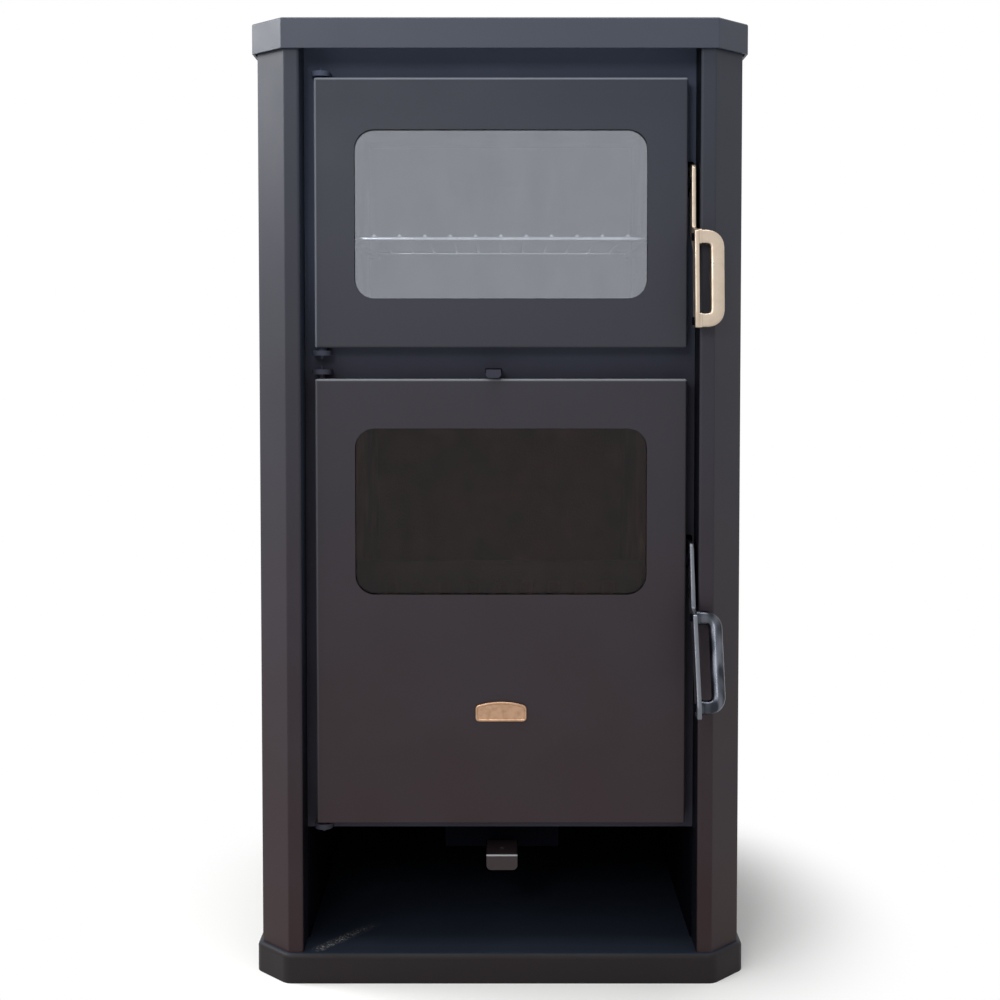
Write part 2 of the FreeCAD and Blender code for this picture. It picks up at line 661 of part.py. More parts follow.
def log_guard():
    """Slotted fence that keeps logs off the glass."""
    half = SHELL_INNER - BRICK_THICKNESS - GUARD_SIDE_GAP
    top = GRATE_LEVEL + GUARD_HEIGHT
    back = GUARD_SETBACK + GUARD_THICKNESS
    fence = block(-half, half, GUARD_SETBACK, back, GRATE_LEVEL, top)
    step = 2 * (half - GUARD_RAIL) / GUARD_SLOTS
    for index in range(GUARD_SLOTS):
        left = -half + GUARD_RAIL + (index + 0.5) * step - GUARD_SLOT_WIDTH / 2
        fence = fence.cut(rounded_block(left, left + GUARD_SLOT_WIDTH, GUARD_SETBACK, back,
                                        GRATE_LEVEL + GUARD_RAIL, top - GUARD_RAIL, GUARD_SLOT_WIDTH / 3))
    return fence


def ash_pan():
    """Open tray under the grate with a folded pull on its front."""
    half = PAN_WIDTH / 2
    front = PLATE_BACK + PAN_SETBACK
    back = front + PAN_DEPTH
    bottom = FIRE.mouth_bottom + PAN_CLEARANCE
    top = bottom + PAN_HEIGHT
    tray = block(-half, half, front, back, bottom, top)
    tray = tray.cut(block(-half + PAN_SHEET, half - PAN_SHEET, front + PAN_SHEET, back - PAN_SHEET,
                          bottom + PAN_SHEET, top))
    reach = PAN_GRIP_WIDTH / 2
    grip_front = PLATE_BACK + FACE_CLEARANCE
    grip_top = top - PAN_GRIP_HEIGHT
    shelf = block(-reach, reach, grip_front, front, grip_top - PAN_SHEET, grip_top)
    lip = block(-reach, reach, grip_front, grip_front + PAN_SHEET, grip_top - PAN_GRIP_HEIGHT, grip_top)
    return joined([tray, shelf, lip])


def ash_pan_runners():
    """Two bars on the firebox floor that carry the ash pan level with the mouth."""
    front = PLATE_BACK + PAN_SETBACK
    bars = []
    for middle in (-RUNNER_SPAN / 2, RUNNER_SPAN / 2):
        bars.append(block(middle - RUNNER_WIDTH / 2, middle + RUNNER_WIDTH / 2, front, front + PAN_DEPTH,
                          FLOOR_TOP, FIRE.mouth_bottom + PAN_CLEARANCE))
    return Part.makeCompound(bars)


def primary_air_box():
    """Open-topped box under the firebox floor that guides the air slide."""
    half = AIR_BOX_WIDTH / 2
    back = AIR_BOX_FRONT + AIR_BOX_DEPTH
    floor = AIR_BOTTOM - FACE_CLEARANCE
    wall = AIR_BOX_SHEET
    box = block(AIR_X - half, AIR_X + half, AIR_BOX_FRONT, back, floor - wall, PLATE_BOTTOM)
    box = box.cut(block(AIR_X - half + wall, AIR_X + half - wall, AIR_BOX_FRONT + wall, back - wall,
                        floor, PLATE_BOTTOM))
    reach = AIR_WIDTH / 2 + STRIP_CLEARANCE
    box = box.cut(block(AIR_X - reach, AIR_X + reach, AIR_BOX_FRONT, AIR_BOX_FRONT + wall,
                        floor, AIR_TOP + STRIP_CLEARANCE))
    inlet = AIR_INLET_WIDTH / 2
    inlet_back = AIR_FLAP_FRONT + AIR_FLAP_DEPTH - AIR_INLET_LAP
    return box.cut(block(AIR_X - inlet, AIR_X + inlet, inlet_back - AIR_INLET_DEPTH, inlet_back,
                         floor - wall, floor))


def primary_air_slide():
    """Pull strip with a lip folded down in front and a wide flap behind."""
    half = AIR_WIDTH / 2
    strip = block(AIR_X - half, AIR_X + half, AIR_FRONT, AIR_FLAP_FRONT, AIR_BOTTOM, AIR_TOP)
    lip = block(AIR_X - half, AIR_X + half, AIR_FRONT, AIR_FRONT + AIR_SHEET, AIR_TOP - AIR_LIP, AIR_TOP)
    low = [edge for edge in edges_along(lip, ALONG_Y) if edge.BoundBox.ZMax < AIR_BOTTOM]
    lip = lip.makeFillet(AIR_LIP_CORNER, low)
    reach = AIR_FLAP_WIDTH / 2
    flap = block(AIR_X - reach, AIR_X + reach, AIR_FLAP_FRONT, AIR_FLAP_FRONT + AIR_FLAP_DEPTH,
                 AIR_BOTTOM, AIR_TOP)
    slide = joined([strip, lip, flap])
    bend = [edge for edge in edges_along(slide, ALONG_X)
            if edge.BoundBox.YMax < deep(AIR_FRONT) + 1 and edge.BoundBox.ZMin > AIR_BOTTOM]
    slide = slide.makeFillet(AIR_SHEET / 2, bend)
    return slide.cut(rod_z(AIR_BOTTOM, AIR_TOP, AIR_X, AIR_HOLE_SETBACK, AIR_HOLE_RADIUS))


def damper_slide():
    """Pull strip between the doors with a flap over the baffle's opening."""
    half = DAMPER_WIDTH / 2
    strip = block(DAMPER_X - half, DAMPER_X + half, DAMPER_FRONT, DAMPER_FLAP_FRONT,
                  DAMPER_BOTTOM, DAMPER_TOP)
    lip = block(DAMPER_X - half, DAMPER_X + half, DAMPER_FRONT, DAMPER_FRONT + DAMPER_SHEET,
                DAMPER_TOP - DAMPER_LIP, DAMPER_TOP)
    low = [edge for edge in edges_along(lip, ALONG_Y) if edge.BoundBox.ZMax < DAMPER_BOTTOM]
    lip = lip.makeChamfer(DAMPER_SHEET, low)
    reach = DAMPER_FLAP_WIDTH / 2
    back = DAMPER_FLAP_FRONT + DAMPER_FLAP_DEPTH
    flap = block(DAMPER_X - reach, DAMPER_X + reach, DAMPER_FLAP_FRONT, back, DAMPER_BOTTOM, DAMPER_TOP)
    return joined([strip, lip, flap])


def damper_guide():
    """Saddle behind the front plate that keeps the damper strip straight."""
    half = DAMPER_WIDTH / 2 + STRIP_CLEARANCE
    top = DAMPER_TOP + STRIP_CLEARANCE
    saddle = block(DAMPER_X - half - GUIDE_WALL, DAMPER_X + half + GUIDE_WALL, PLATE_BACK,
                   PLATE_BACK + GUIDE_LENGTH, BAFFLE_TOP, top + GUIDE_WALL)
    return saddle.cut(block(DAMPER_X - half, DAMPER_X + half, PLATE_BACK, PLATE_BACK + GUIDE_LENGTH,
                            BAFFLE_TOP, top))


def hinge_lugs():
    """Four rounded ears welded to the front plate."""
    lugs = []
    reach = LUG_WIDTH / 2
    for door in (OVEN, FIRE):
        for low in (door.top + door.top_gap, door.bottom - door.bottom_gap - LUG_THICKNESS):
            high = low + LUG_THICKNESS
            ear = block(HINGE_X - reach, HINGE_X + reach, HINGE_SETBACK, PLATE_SETBACK, low, high)
            nose = rod_z(low, high, HINGE_X, HINGE_SETBACK, reach)
            lugs.append(joined([ear, nose]).cut(rod_z(low, high, HINGE_X, HINGE_SETBACK, PIN_RADIUS)))
    return Part.makeCompound(lugs)


def hinge_pins():
    """Pins pressed through the lugs into the doors' edges, each with a thin tip outside its lug."""
    pins = []
    for door in (OVEN, FIRE):
        top = door.top + door.top_gap + LUG_THICKNESS
        low = door.bottom - door.bottom_gap - LUG_THICKNESS
        upper_tip = rod_z(top, top + PIN_TIP, HINGE_X, HINGE_SETBACK, PIN_TIP_RADIUS)
        upper = rod_z(door.top - PIN_REACH, top, HINGE_X, HINGE_SETBACK, PIN_RADIUS)
        lower_tip = rod_z(low - PIN_TIP, low, HINGE_X, HINGE_SETBACK, PIN_TIP_RADIUS)
        lower = rod_z(low, door.bottom + PIN_REACH, HINGE_X, HINGE_SETBACK, PIN_RADIUS)
        pins += [joined([upper_tip, upper]), joined([lower_tip, lower])]
    return Part.makeCompound(pins)


def hinge_washers():
    """Spacer rings on the lower pins that carry the doors."""
    rings = []
    for door in (OVEN, FIRE):
        low = door.bottom - door.bottom_gap
        high = door.bottom - FACE_CLEARANCE
        ring = rod_z(low, high, HINGE_X, HINGE_SETBACK, WASHER_RADIUS)
        rings.append(ring.cut(rod_z(low, high, HINGE_X, HINGE_SETBACK, PIN_RADIUS)))
    return Part.makeCompound(rings)


def window_of(door):
    """Window rectangle (x0, x1, z0, z1) of a door."""
    half = WINDOW_WIDTH / 2
    return (DOOR_MIDDLE - half, DOOR_MIDDLE + half, door.window_bottom, door.window_top)


def outline_of(door):
    """Outer rectangle (x0, x1, z0, z1) of a door."""
    return (DOOR_LEFT, DOOR_RIGHT, door.bottom, door.top)


def door_frame(door):
    """Door with a rounded front edge, rope groove, glass pocket, window and pin holes."""
    x0, x1, z0, z1 = outline_of(door)
    frame = rounded_block(x0, x1, DOOR_FRONT, DOOR_BACK, z0, z1, DOOR_CORNER_RADIUS)
    rim = [edge for edge in frame.Edges if edge.BoundBox.YMax < deep(DOOR_FRONT) + DOOR_SKIN / 2]
    frame = frame.makeFillet(DOOR_EDGE_RADIUS, rim)
    frame = frame.cut(block(MOUTH_LEFT, MOUTH_RIGHT, SKIN_BACK, DOOR_BACK,
                            door.mouth_bottom, door.mouth_top))
    wx0, wx1, wz0, wz1 = window_of(door)
    frame = frame.cut(rounded_block(wx0, wx1, DOOR_FRONT, SKIN_BACK, wz0, wz1, WINDOW_RADIUS))
    frame = frame.cut(rope_ring(door, DOOR_BACK))
    bore = PIN_RADIUS + RUNNING_CLEARANCE
    depth = PIN_REACH + FACE_CLEARANCE
    frame = frame.cut(rod_z(door.top - depth, door.top, HINGE_X, HINGE_SETBACK, bore))
    frame = frame.cut(rod_z(door.bottom, door.bottom + depth, HINGE_X, HINGE_SETBACK, bore))
    return frame.cut(rod_x(DOOR_RIGHT - LATCH_PIN_REACH, DOOR_RIGHT, PIVOT_SETBACK, door.pivot,
                           LATCH_PIN_RADIUS))


def rope_ring(door, back):
    """Ring of the rope seal from the bottom of its groove to a depth."""
    outer = inset(outline_of(door), ROPE_INSET)
    return frame_ring(outer, inset(outer, ROPE_WIDTH), DOOR_BACK - ROPE_GROOVE, back, 2 * ROPE_WIDTH)


def rope_seal(door):
    """Rope seal lying in the groove, just short of the front plate."""
    return rope_ring(door, PLATE_SETBACK - ROPE_CRUSH_GAP)


def door_glass(door):
    """Pane behind the window."""
    x0, x1, z0, z1 = inset(window_of(door), -GLASS_OVERLAP)
    return rounded_block(x0, x1, GLASS_FRONT, GLASS_BACK, z0, z1, WINDOW_RADIUS / 2)


def glass_gasket(door):
    """Flat gasket between the door's skin and the pane."""
    outer = inset(window_of(door), -GLASS_OVERLAP)
    return frame_ring(outer, inset(window_of(door), -GASKET_LIP), SKIN_BACK, GLASS_FRONT, WINDOW_RADIUS / 2)


def clip_places(door):
    """Middle (x, z) of each clip's post and the side of the pane it stands on."""
    low = door.window_bottom - GLASS_OVERLAP - FACE_CLEARANCE - CLIP_POST / 2
    high = door.window_top + GLASS_OVERLAP + FACE_CLEARANCE + CLIP_POST / 2
    pitch = WINDOW_WIDTH / 2 - CLIP_END
    rows = ((low, 1), (high, -1))
    return [(DOOR_MIDDLE + step * pitch, z, way) for z, way in rows for step in (-1, 0, 1)]


def glass_clips(door):
    """Stepped clips that hold the pane against its gasket."""
    clips = []
    for x, z, way in clip_places(door):
        post = block(x - CLIP_WIDTH / 2, x + CLIP_WIDTH / 2, SKIN_BACK, CLIP_BACK,
                     z - CLIP_POST / 2, z + CLIP_POST / 2)
        low, high = sorted((z, z + way * (CLIP_POST / 2 + FACE_CLEARANCE + CLIP_REACH)))
        finger = block(x - CLIP_WIDTH / 2, x + CLIP_WIDTH / 2, GLASS_BACK, CLIP_BACK, low, high)
        clips.append(joined([post, finger]).cut(rod_y(SKIN_BACK, CLIP_BACK, x, z, CLIP_SCREW_RADIUS)))
    return Part.makeCompound(clips)


def clip_screws(door):
    """Screws through the glass clips."""
    screws = []
    for x, z, way in clip_places(door):
        head = rod_y(CLIP_BACK, CLIP_BACK + SCREW_HEAD, x, z, CLIP_POST / 2)
        screws.append(joined([head, rod_y(SKIN_BACK, CLIP_BACK, x, z, CLIP_SCREW_RADIUS)]))
    return Part.makeCompound(screws)


def heat_shield():
    """Shallow tray behind the blank lower part of the fire door."""
    x0 = MOUTH_LEFT + ROPE_LAND
    x1 = MOUTH_RIGHT - ROPE_LAND
    z0 = FIRE.mouth_bottom + ROPE_LAND
    z1 = FIRE.window_bottom - GLASS_OVERLAP - CLIP_POST - SHIELD_TOP_GAP
    back = SKIN_BACK + SHIELD_DEPTH
    tray = block(x0, x1, SKIN_BACK, back, z0, z1)
    hollow = inset((x0, x1, z0, z1), SHIELD_SHEET)
    return tray.cut(block(hollow[0], hollow[1], SKIN_BACK, back - SHIELD_SHEET, hollow[2], hollow[3]))


def badge_plate():
    """Bare plate with a raised rim on the fire door."""
    x0 = DOOR_MIDDLE - BADGE_WIDTH / 2
    z0 = (FIRE.bottom + FIRE.window_bottom - BADGE_HEIGHT) / 2 - BADGE_DROP
    field = (x0, x0 + BADGE_WIDTH, z0, z0 + BADGE_HEIGHT)
    front = DOOR_FRONT - BADGE_THICKNESS
    plate = rounded_block(field[0], field[1], front, DOOR_FRONT, field[2], field[3], BADGE_RADIUS)
    sunk = inset(field, BADGE_RIM)
    return plate.cut(rounded_block(sunk[0], sunk[1], front, front + BADGE_THICKNESS / 2, sunk[2], sunk[3],
                                   BADGE_RADIUS - BADGE_RIM))


def latch_pin(door):
    """Shouldered pivot in the door's right edge that the lever turns on."""
    seat = STRAP_RIGHT + FACE_CLEARANCE
    shank = rod_x(DOOR_RIGHT - LATCH_PIN_REACH, seat, PIVOT_SETBACK, door.pivot, LATCH_PIN_RADIUS)
    collar = rod_x(DOOR_RIGHT, STRAP_LEFT - FACE_CLEARANCE, PIVOT_SETBACK, door.pivot, LATCH_COLLAR_RADIUS)
    head = rod_x(seat, seat + LATCH_HEAD, PIVOT_SETBACK, door.pivot, LATCH_COLLAR_RADIUS)
    return joined([shank, collar, head])


def grip_centre(door):
    """Middle of the grip on the lever's centre line, and its lean in degrees."""
    drop = STRAP_LENGTH - STRAP_KNEE
    forward = door.reach - door.knee
    share = (drop - door.grip_height / 2) / drop
    setback = STRAP_WIDTH / 2 - door.knee - forward * share
    lean = math.degrees(math.atan2(forward, drop))
    height = door.lever_top - STRAP_LENGTH + door.grip_height / 2
    return FreeCAD.Vector(0, deep(setback), height), setback, height, lean


def grip_screw_rods(door, x0, x1, radius):
    """Two bars along X at the grip's legs, leaning with the grip."""
    centre, setback, height, lean = grip_centre(door)
    offset = (door.grip_height - GRIP_LEG) / 2
    rods = [rod_x(x0, x1, setback, height + way * offset, radius) for way in (-1, 1)]
    for rod in rods:
        rod.rotate(centre, ALONG_X, -lean)
    return rods


def latch_lever(door):
    """Flat strap: nose into the plate's slot, pivot hole, and a knee forward to the grip."""
    top = door.lever_top
    nose = PLATE_BACK + NOSE_LENGTH
    waist = PLATE_SETBACK - STRAP_SHOULDER
    heel = STRAP_WIDTH - door.knee - (door.reach - door.knee) * STRAP_HEEL / (STRAP_LENGTH - STRAP_KNEE)
    outline = [
        (STRAP_TOP_FRONT, top - STRAP_SHOULDER),
        (STRAP_TOP_FRONT + STRAP_SHOULDER, top),
        (nose, top),
        (nose, top - NOSE_HEIGHT),
        (waist, top - NOSE_HEIGHT - STRAP_SHOULDER),
        (waist - STRAP_CORNER, top - PIVOT_DROP - 2 * STRAP_SHOULDER),
        (STRAP_WIDTH + door.neck, top - STRAP_KNEE),
        (heel, top - STRAP_KNEE - STRAP_HEEL),
        (STRAP_WIDTH - door.reach, top - STRAP_LENGTH),
        (-door.reach, top - STRAP_LENGTH),
        (-door.reach, top - STRAP_LENGTH + STRAP_FOOT),
        (-door.knee, top - STRAP_KNEE),
        (door.neck, top - STRAP_NECK),
    ]
    strap = side_prism(outline, STRAP_LEFT, STRAP_RIGHT)
    strap = strap.makeFillet(STRAP_CORNER, edges_along(strap, ALONG_X))
    bore = LATCH_PIN_RADIUS + RUNNING_CLEARANCE
    strap = strap.cut(rod_x(STRAP_LEFT, STRAP_RIGHT, PIVOT_SETBACK, door.pivot, bore))
    for rod in grip_screw_rods(door, STRAP_LEFT, STRAP_RIGHT, GRIP_SCREW_RADIUS):
        strap = strap.cut(rod)
    return strap


def latch_grip(door):
    """D-shaped pull screwed to the outer face of the lever."""
    centre, setback, height, lean = grip_centre(door)
    x0 = STRAP_RIGHT
    x1 = STRAP_RIGHT + GRIP_WIDTH
    d0 = setback - GRIP_DEPTH / 2
    d1 = setback + GRIP_DEPTH / 2
    z0 = height - door.grip_height / 2
    z1 = height + door.grip_height / 2
    bow = block(x0, x1, d0, d1, z0, z1)
    far = [edge for edge in edges_along(bow, ALONG_Y) if edge.BoundBox.XMin > x1 - 1]
    bow = bow.makeFillet(GRIP_CORNER, far)
    gap = block(x0, x1 - GRIP_BAR, d0, d1, z0 + GRIP_LEG, z1 - GRIP_LEG)
    inner = [edge for edge in edges_along(gap, ALONG_Y) if edge.BoundBox.XMin > x0 + 1]
    bow = bow.cut(gap.makeFillet(GRIP_INNER_CORNER, inner))
    outer = [edge for edge in bow.Edges if edge.BoundBox.YLength < 1e-3 and edge.BoundBox.XMax > x0 + 1]
    bow = bow.makeFillet(GRIP_EDGE, outer)
    bow.rotate(centre, ALONG_X, -lean)
    for rod in grip_screw_rods(door, x0, x0 + GRIP_SCREW_REACH, GRIP_SCREW_RADIUS):
        bow = bow.cut(rod)
    return bow


def grip_screws(door):
    """Two screws through the lever into the grip's legs."""
    heads = grip_screw_rods(door, STRAP_LEFT - GRIP_SCREW_HEAD, STRAP_LEFT, 2 * GRIP_SCREW_RADIUS)
    shanks = grip_screw_rods(door, STRAP_LEFT, STRAP_RIGHT + GRIP_SCREW_REACH, GRIP_SCREW_RADIUS)
    return Part.makeCompound([joined([head, shank]) for head, shank in zip(heads, shanks)])


def stove_pieces():
    """Every piece of the stove by name."""
    pieces = {
        "base_tray": base_tray(),
        "cooktop_cover": cooktop_cover(),
        "left_side_panel": side_panel(-1),
        "right_side_panel": side_panel(1),
        "back_panel": back_panel(),
        "back_screws": back_screws(),
        "front_plate": front_plate(),
        "wood_store_liner": wood_store_liner(),
        "flue_spigot": flue_spigot(),
        "flue_screws": flue_screws(),
        "firebox_floor": firebox_floor(),
        "left_inner_wall": side_inner_wall(-1),
        "right_inner_wall": side_inner_wall(1),
        "back_inner_wall": back_inner_wall(),
        "oven_box": oven_box(),
        "oven_rack_rails": oven_rack_rails(),
        "oven_rack": oven_rack(),
        "baffle_plate": baffle_plate(),
        "left_firebrick": side_firebrick(-1),
        "right_firebrick": side_firebrick(1),
        "rear_firebrick": rear_firebrick(),
        "grate_frame": grate_frame(),
        "fire_grate": fire_grate(),
        "log_guard": log_guard(),
        "ash_pan": ash_pan(),
        "ash_pan_runners": ash_pan_runners(),
        "primary_air_box": primary_air_box(),
        "primary_air_slide": primary_air_slide(),
        "damper_slide": damper_slide(),
        "damper_guide": damper_guide(),
        "hinge_lugs": hinge_lugs(),
        "hinge_pins": hinge_pins(),
        "hinge_washers": hinge_washers(),
        "fire_heat_shield": heat_shield(),
        "badge_plate": badge_plate(),
    }
    for name, door in (("oven", OVEN), ("fire", FIRE)):
        pieces[name + "_door_frame"] = door_frame(door)
        pieces[name + "_door_glass"] = door_glass(door)
        pieces[name + "_glass_gasket"] = glass_gasket(door)
        pieces[name + "_glass_clips"] = glass_clips(door)
        pieces[name + "_clip_screws"] = clip_screws(door)
        pieces[name + "_rope_seal"] = rope_seal(door)
        pieces[name + "_latch_pin"] = latch_pin(door)
        pieces[name + "_latch_lever"] = latch_lever(door)
        pieces[name + "_grip"] = latch_grip(door)
        pieces[name + "_grip_screws"] = grip_screws(door)
    return pieces


def main():
    """Build every piece and write it to its own file."""
    os.makedirs("parts", exist_ok=True)
    for name, shape in stove_pieces().items():
        if not shape.isValid():
            raise ValueError("piece is not valid: " + name)
        shape.exportStep("parts/" + name + ".step")
        print(name, len(shape.Solids), "solids", round(shape.Volume), "mm3")


main()
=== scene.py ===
"""Looks of a tall wood cookstove: paint, glass, plated grips, firebrick and rope seals on its frame."""
import logging
import math
from dataclasses import dataclass
from enum import Enum
from typing import Any, Iterable

import bpy
import numpy as np
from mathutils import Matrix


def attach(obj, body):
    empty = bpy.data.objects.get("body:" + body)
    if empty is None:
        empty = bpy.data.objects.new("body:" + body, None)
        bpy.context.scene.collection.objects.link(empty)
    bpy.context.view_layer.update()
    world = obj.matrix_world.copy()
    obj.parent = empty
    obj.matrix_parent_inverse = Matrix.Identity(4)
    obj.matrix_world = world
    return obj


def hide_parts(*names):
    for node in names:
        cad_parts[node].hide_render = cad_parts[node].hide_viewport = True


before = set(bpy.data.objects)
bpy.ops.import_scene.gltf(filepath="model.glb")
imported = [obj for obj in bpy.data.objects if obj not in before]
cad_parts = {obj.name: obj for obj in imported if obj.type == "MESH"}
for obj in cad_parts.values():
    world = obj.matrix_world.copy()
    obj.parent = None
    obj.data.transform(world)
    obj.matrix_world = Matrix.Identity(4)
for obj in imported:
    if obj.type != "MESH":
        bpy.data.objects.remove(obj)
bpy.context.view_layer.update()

MM = 0.001
SETBACK_MM = 205.0
LOG = logging.getLogger("cookstove")
Tree = bpy.types.NodeTree
Socket = bpy.types.NodeSocket
Material = bpy.types.Material
Sockets = dict[Any, Any]
Point = tuple[float, float, float]
Span = tuple[float, float]
WHITE = (1.0, 1.0, 1.0, 1.0)

# Noise values between which clouds and gloss change, and the octaves of each kind of noise.
CLOUD_SPAN = (0.35, 0.7)
GLOSS_LOW = 0.3
GLOSS_HIGH = 0.7
CLOUD_DETAIL = 5.0
STREAK_DETAIL = 6.0
GRAIN_DETAIL = 3.0


class BarShape(Enum):
    """Cross-section of a latch grip: the exponent of its superellipse."""

    FLAT_FACED = 7.0
    ROUNDED = 2.1


def linear(hex_colour: str) -> tuple[float, float, float, float]:
    """Turn an sRGB hex colour into linear RGBA.

    Args:
        hex_colour: six hex digits after a hash.

    Returns:
        Linear red, green, blue and an alpha of one.
    """
    digits = hex_colour.lstrip("#")
    srgb = np.array([int(digits[i:i + 2], 16) for i in (0, 2, 4)]) / 255.0
    red, green, blue = np.where(srgb <= 0.04045, srgb / 12.92, ((srgb + 0.055) / 1.055) ** 2.4)
    return float(red), float(green), float(blue), 1.0


def per_metre(size_mm: float) -> float:
    """Texture scale that repeats a pattern once in a size given in millimetres."""
    return 1.0 / (size_mm * MM)


def add(tree: Tree, kind: str, inputs: Sockets, out: int | str = 0, **settings: Any) -> Any:
    """Add one shader node with its settings, values and links.

    Inputs that share a name go by index. Map Range takes the value, the two ends it runs between and the two
    it is mapped to as 0 to 4. Mix takes its share and two colours as 0, 6 and 7, and gives them as output 2.

    Args:
        tree: node tree that receives the node.
        kind: Blender's node type, without its ShaderNode prefix.
        inputs: input socket name or index to a value or to another node's output socket.
        out: name or index of the output to hand back.
        settings: attributes set on the node before its inputs.

    Returns:
        The chosen output socket, or None for a node that has no outputs.
    """
    node = tree.nodes.new("ShaderNode" + kind)
    for key, value in settings.items():
        setattr(node, key, value)
    for key, value in inputs.items():
        if isinstance(value, Socket):
            tree.links.new(value, node.inputs[key])
        else:
            node.inputs[key].default_value = value
    return node.outputs[out] if len(node.outputs) else None


def clouds(tree: Tree, place: Socket, size_mm: float, detail: float, span: Span, colours: tuple[Any, Any],
           most: float = 1.0) -> tuple[Socket, Socket]:
    """Mix two colours in clouds: noise of a real size brings in the second between two of its values.

    Args:
        tree: the material's tree.
        place: coordinates of the noise.
        size_mm: size of a cloud.
        detail: octaves of the noise.
        span: noise values where the second colour starts and where it is full.
        colours: the two colours, as values or sockets.
        most: share of the second colour where it is full.

    Returns:
        The noise and the mixed colour.
    """
    noise = add(tree, "TexNoise", {"Vector": place, "Scale": per_metre(size_mm), "Detail": detail})
    share = add(tree, "MapRange", {0: noise, 1: span[0], 2: span[1], 4: most})
    return noise, add(tree, "Mix", {0: share, 6: colours[0], 7: colours[1]}, 2, data_type="RGBA")


def grained(tree: Tree, place: Socket, size_mm: float, depth_mm: float) -> Socket:
    """Roughen a surface with a grain of a real size and depth.

    Args:
        tree: the material's tree.
        place: coordinates of the grain.
        size_mm: size of a grain.
        depth_mm: its height.

    Returns:
        The bumped normal.
    """
    grain = add(tree, "TexNoise", {"Vector": place, "Scale": per_metre(size_mm), "Detail": GRAIN_DETAIL})
    return add(tree, "Bump", {"Height": grain, "Distance": depth_mm * MM})


@dataclass(frozen=True)
class Finish:
    """A surface finish under its common name; each kind of finish says how its sockets are fed."""

    name: str

    def sockets(self, tree: Tree, place: Socket) -> Sockets:
        """Values and links for the Principled shader.

        Args:
            tree: the material's tree, for the pattern nodes.
            place: Object coordinates.

        Returns:
            Principled input names to values or sockets.
        """
        raise NotImplementedError

    def make(self) -> Material:
        """Build the node material.

        Returns:
            The material, ready to be put on a mesh.
        """
        if self.name in bpy.data.materials:
            return bpy.data.materials[self.name]
        material = bpy.data.materials.new(self.name)
        material.use_nodes = True
        tree = material.node_tree
        tree.nodes.clear()
        place = add(tree, "TexCoord", {}, "Object")
        shader = add(tree, "BsdfPrincipled", self.sockets(tree, place))
        add(tree, "OutputMaterial", {"Surface": shader})
        return material


@dataclass(frozen=True)
class MattPaint(Finish):
    """Sprayed heat-resisting paint: fine orange-peel grain, faint clouds, rubbed specks, and painted light by
    height: warmer at the foot as painted reflection of a brown floor, bluer at the top.

    The grain is drawn coarser than a real spray's, so that it shows in the render.
    """

    top: str
    foot: str
    scuff: str
    roughness: float
    specular: float
    grain_mm: float = 1.6
    grain_depth_mm: float = 0.03
    cloud_mm: float = 70.0
    cloud_share: float = 0.14
    rub_mm: float = 9.0
    rub_span: Span = (0.68, 0.78)
    rub_share: float = 0.2
    rub_detail: float = 8.0
    gloss_drop: float = 0.04
    gloss_rise: float = 0.05
    foot_m: float = 0.08
    top_m: float = 0.92

    def sockets(self, tree: Tree, place: Socket) -> Sockets:
        """Feed two colours by height as painted light and reflection, clouded and specked with the scuff
        colour, over a grain bump.

        Args:
            tree: the material's tree.
            place: Object coordinates.

        Returns:
            Inputs of the Principled shader.
        """
        scuff = linear(self.scuff)
        height = add(tree, "SeparateXYZ", {"Vector": place}, "Z")
        # Painted light by height: a warm foot, painted reflection of a brown floor, rising to a bluish top
        # lit from above.
        painted_light_rise = add(tree, "MapRange", {0: height, 1: self.foot_m, 2: self.top_m})
        base = add(tree, "Mix", {0: painted_light_rise, 6: linear(self.foot), 7: linear(self.top)}, 2, data_type="RGBA")
        cloud, clouded = clouds(tree, place, self.cloud_mm, CLOUD_DETAIL, CLOUD_SPAN, (base, scuff),
                                self.cloud_share)
        _, colour = clouds(tree, place, self.rub_mm, self.rub_detail, self.rub_span, (clouded, scuff),
                           self.rub_share)
        gloss = add(tree, "MapRange", {0: cloud, 1: GLOSS_LOW, 2: GLOSS_HIGH,
                                       3: self.roughness - self.gloss_drop,
                                       4: self.roughness + self.gloss_rise})
        return {"Base Color": colour, "Roughness": gloss, "Specular IOR Level": self.specular,
                "Normal": grained(tree, place, self.grain_mm, self.grain_depth_mm)}


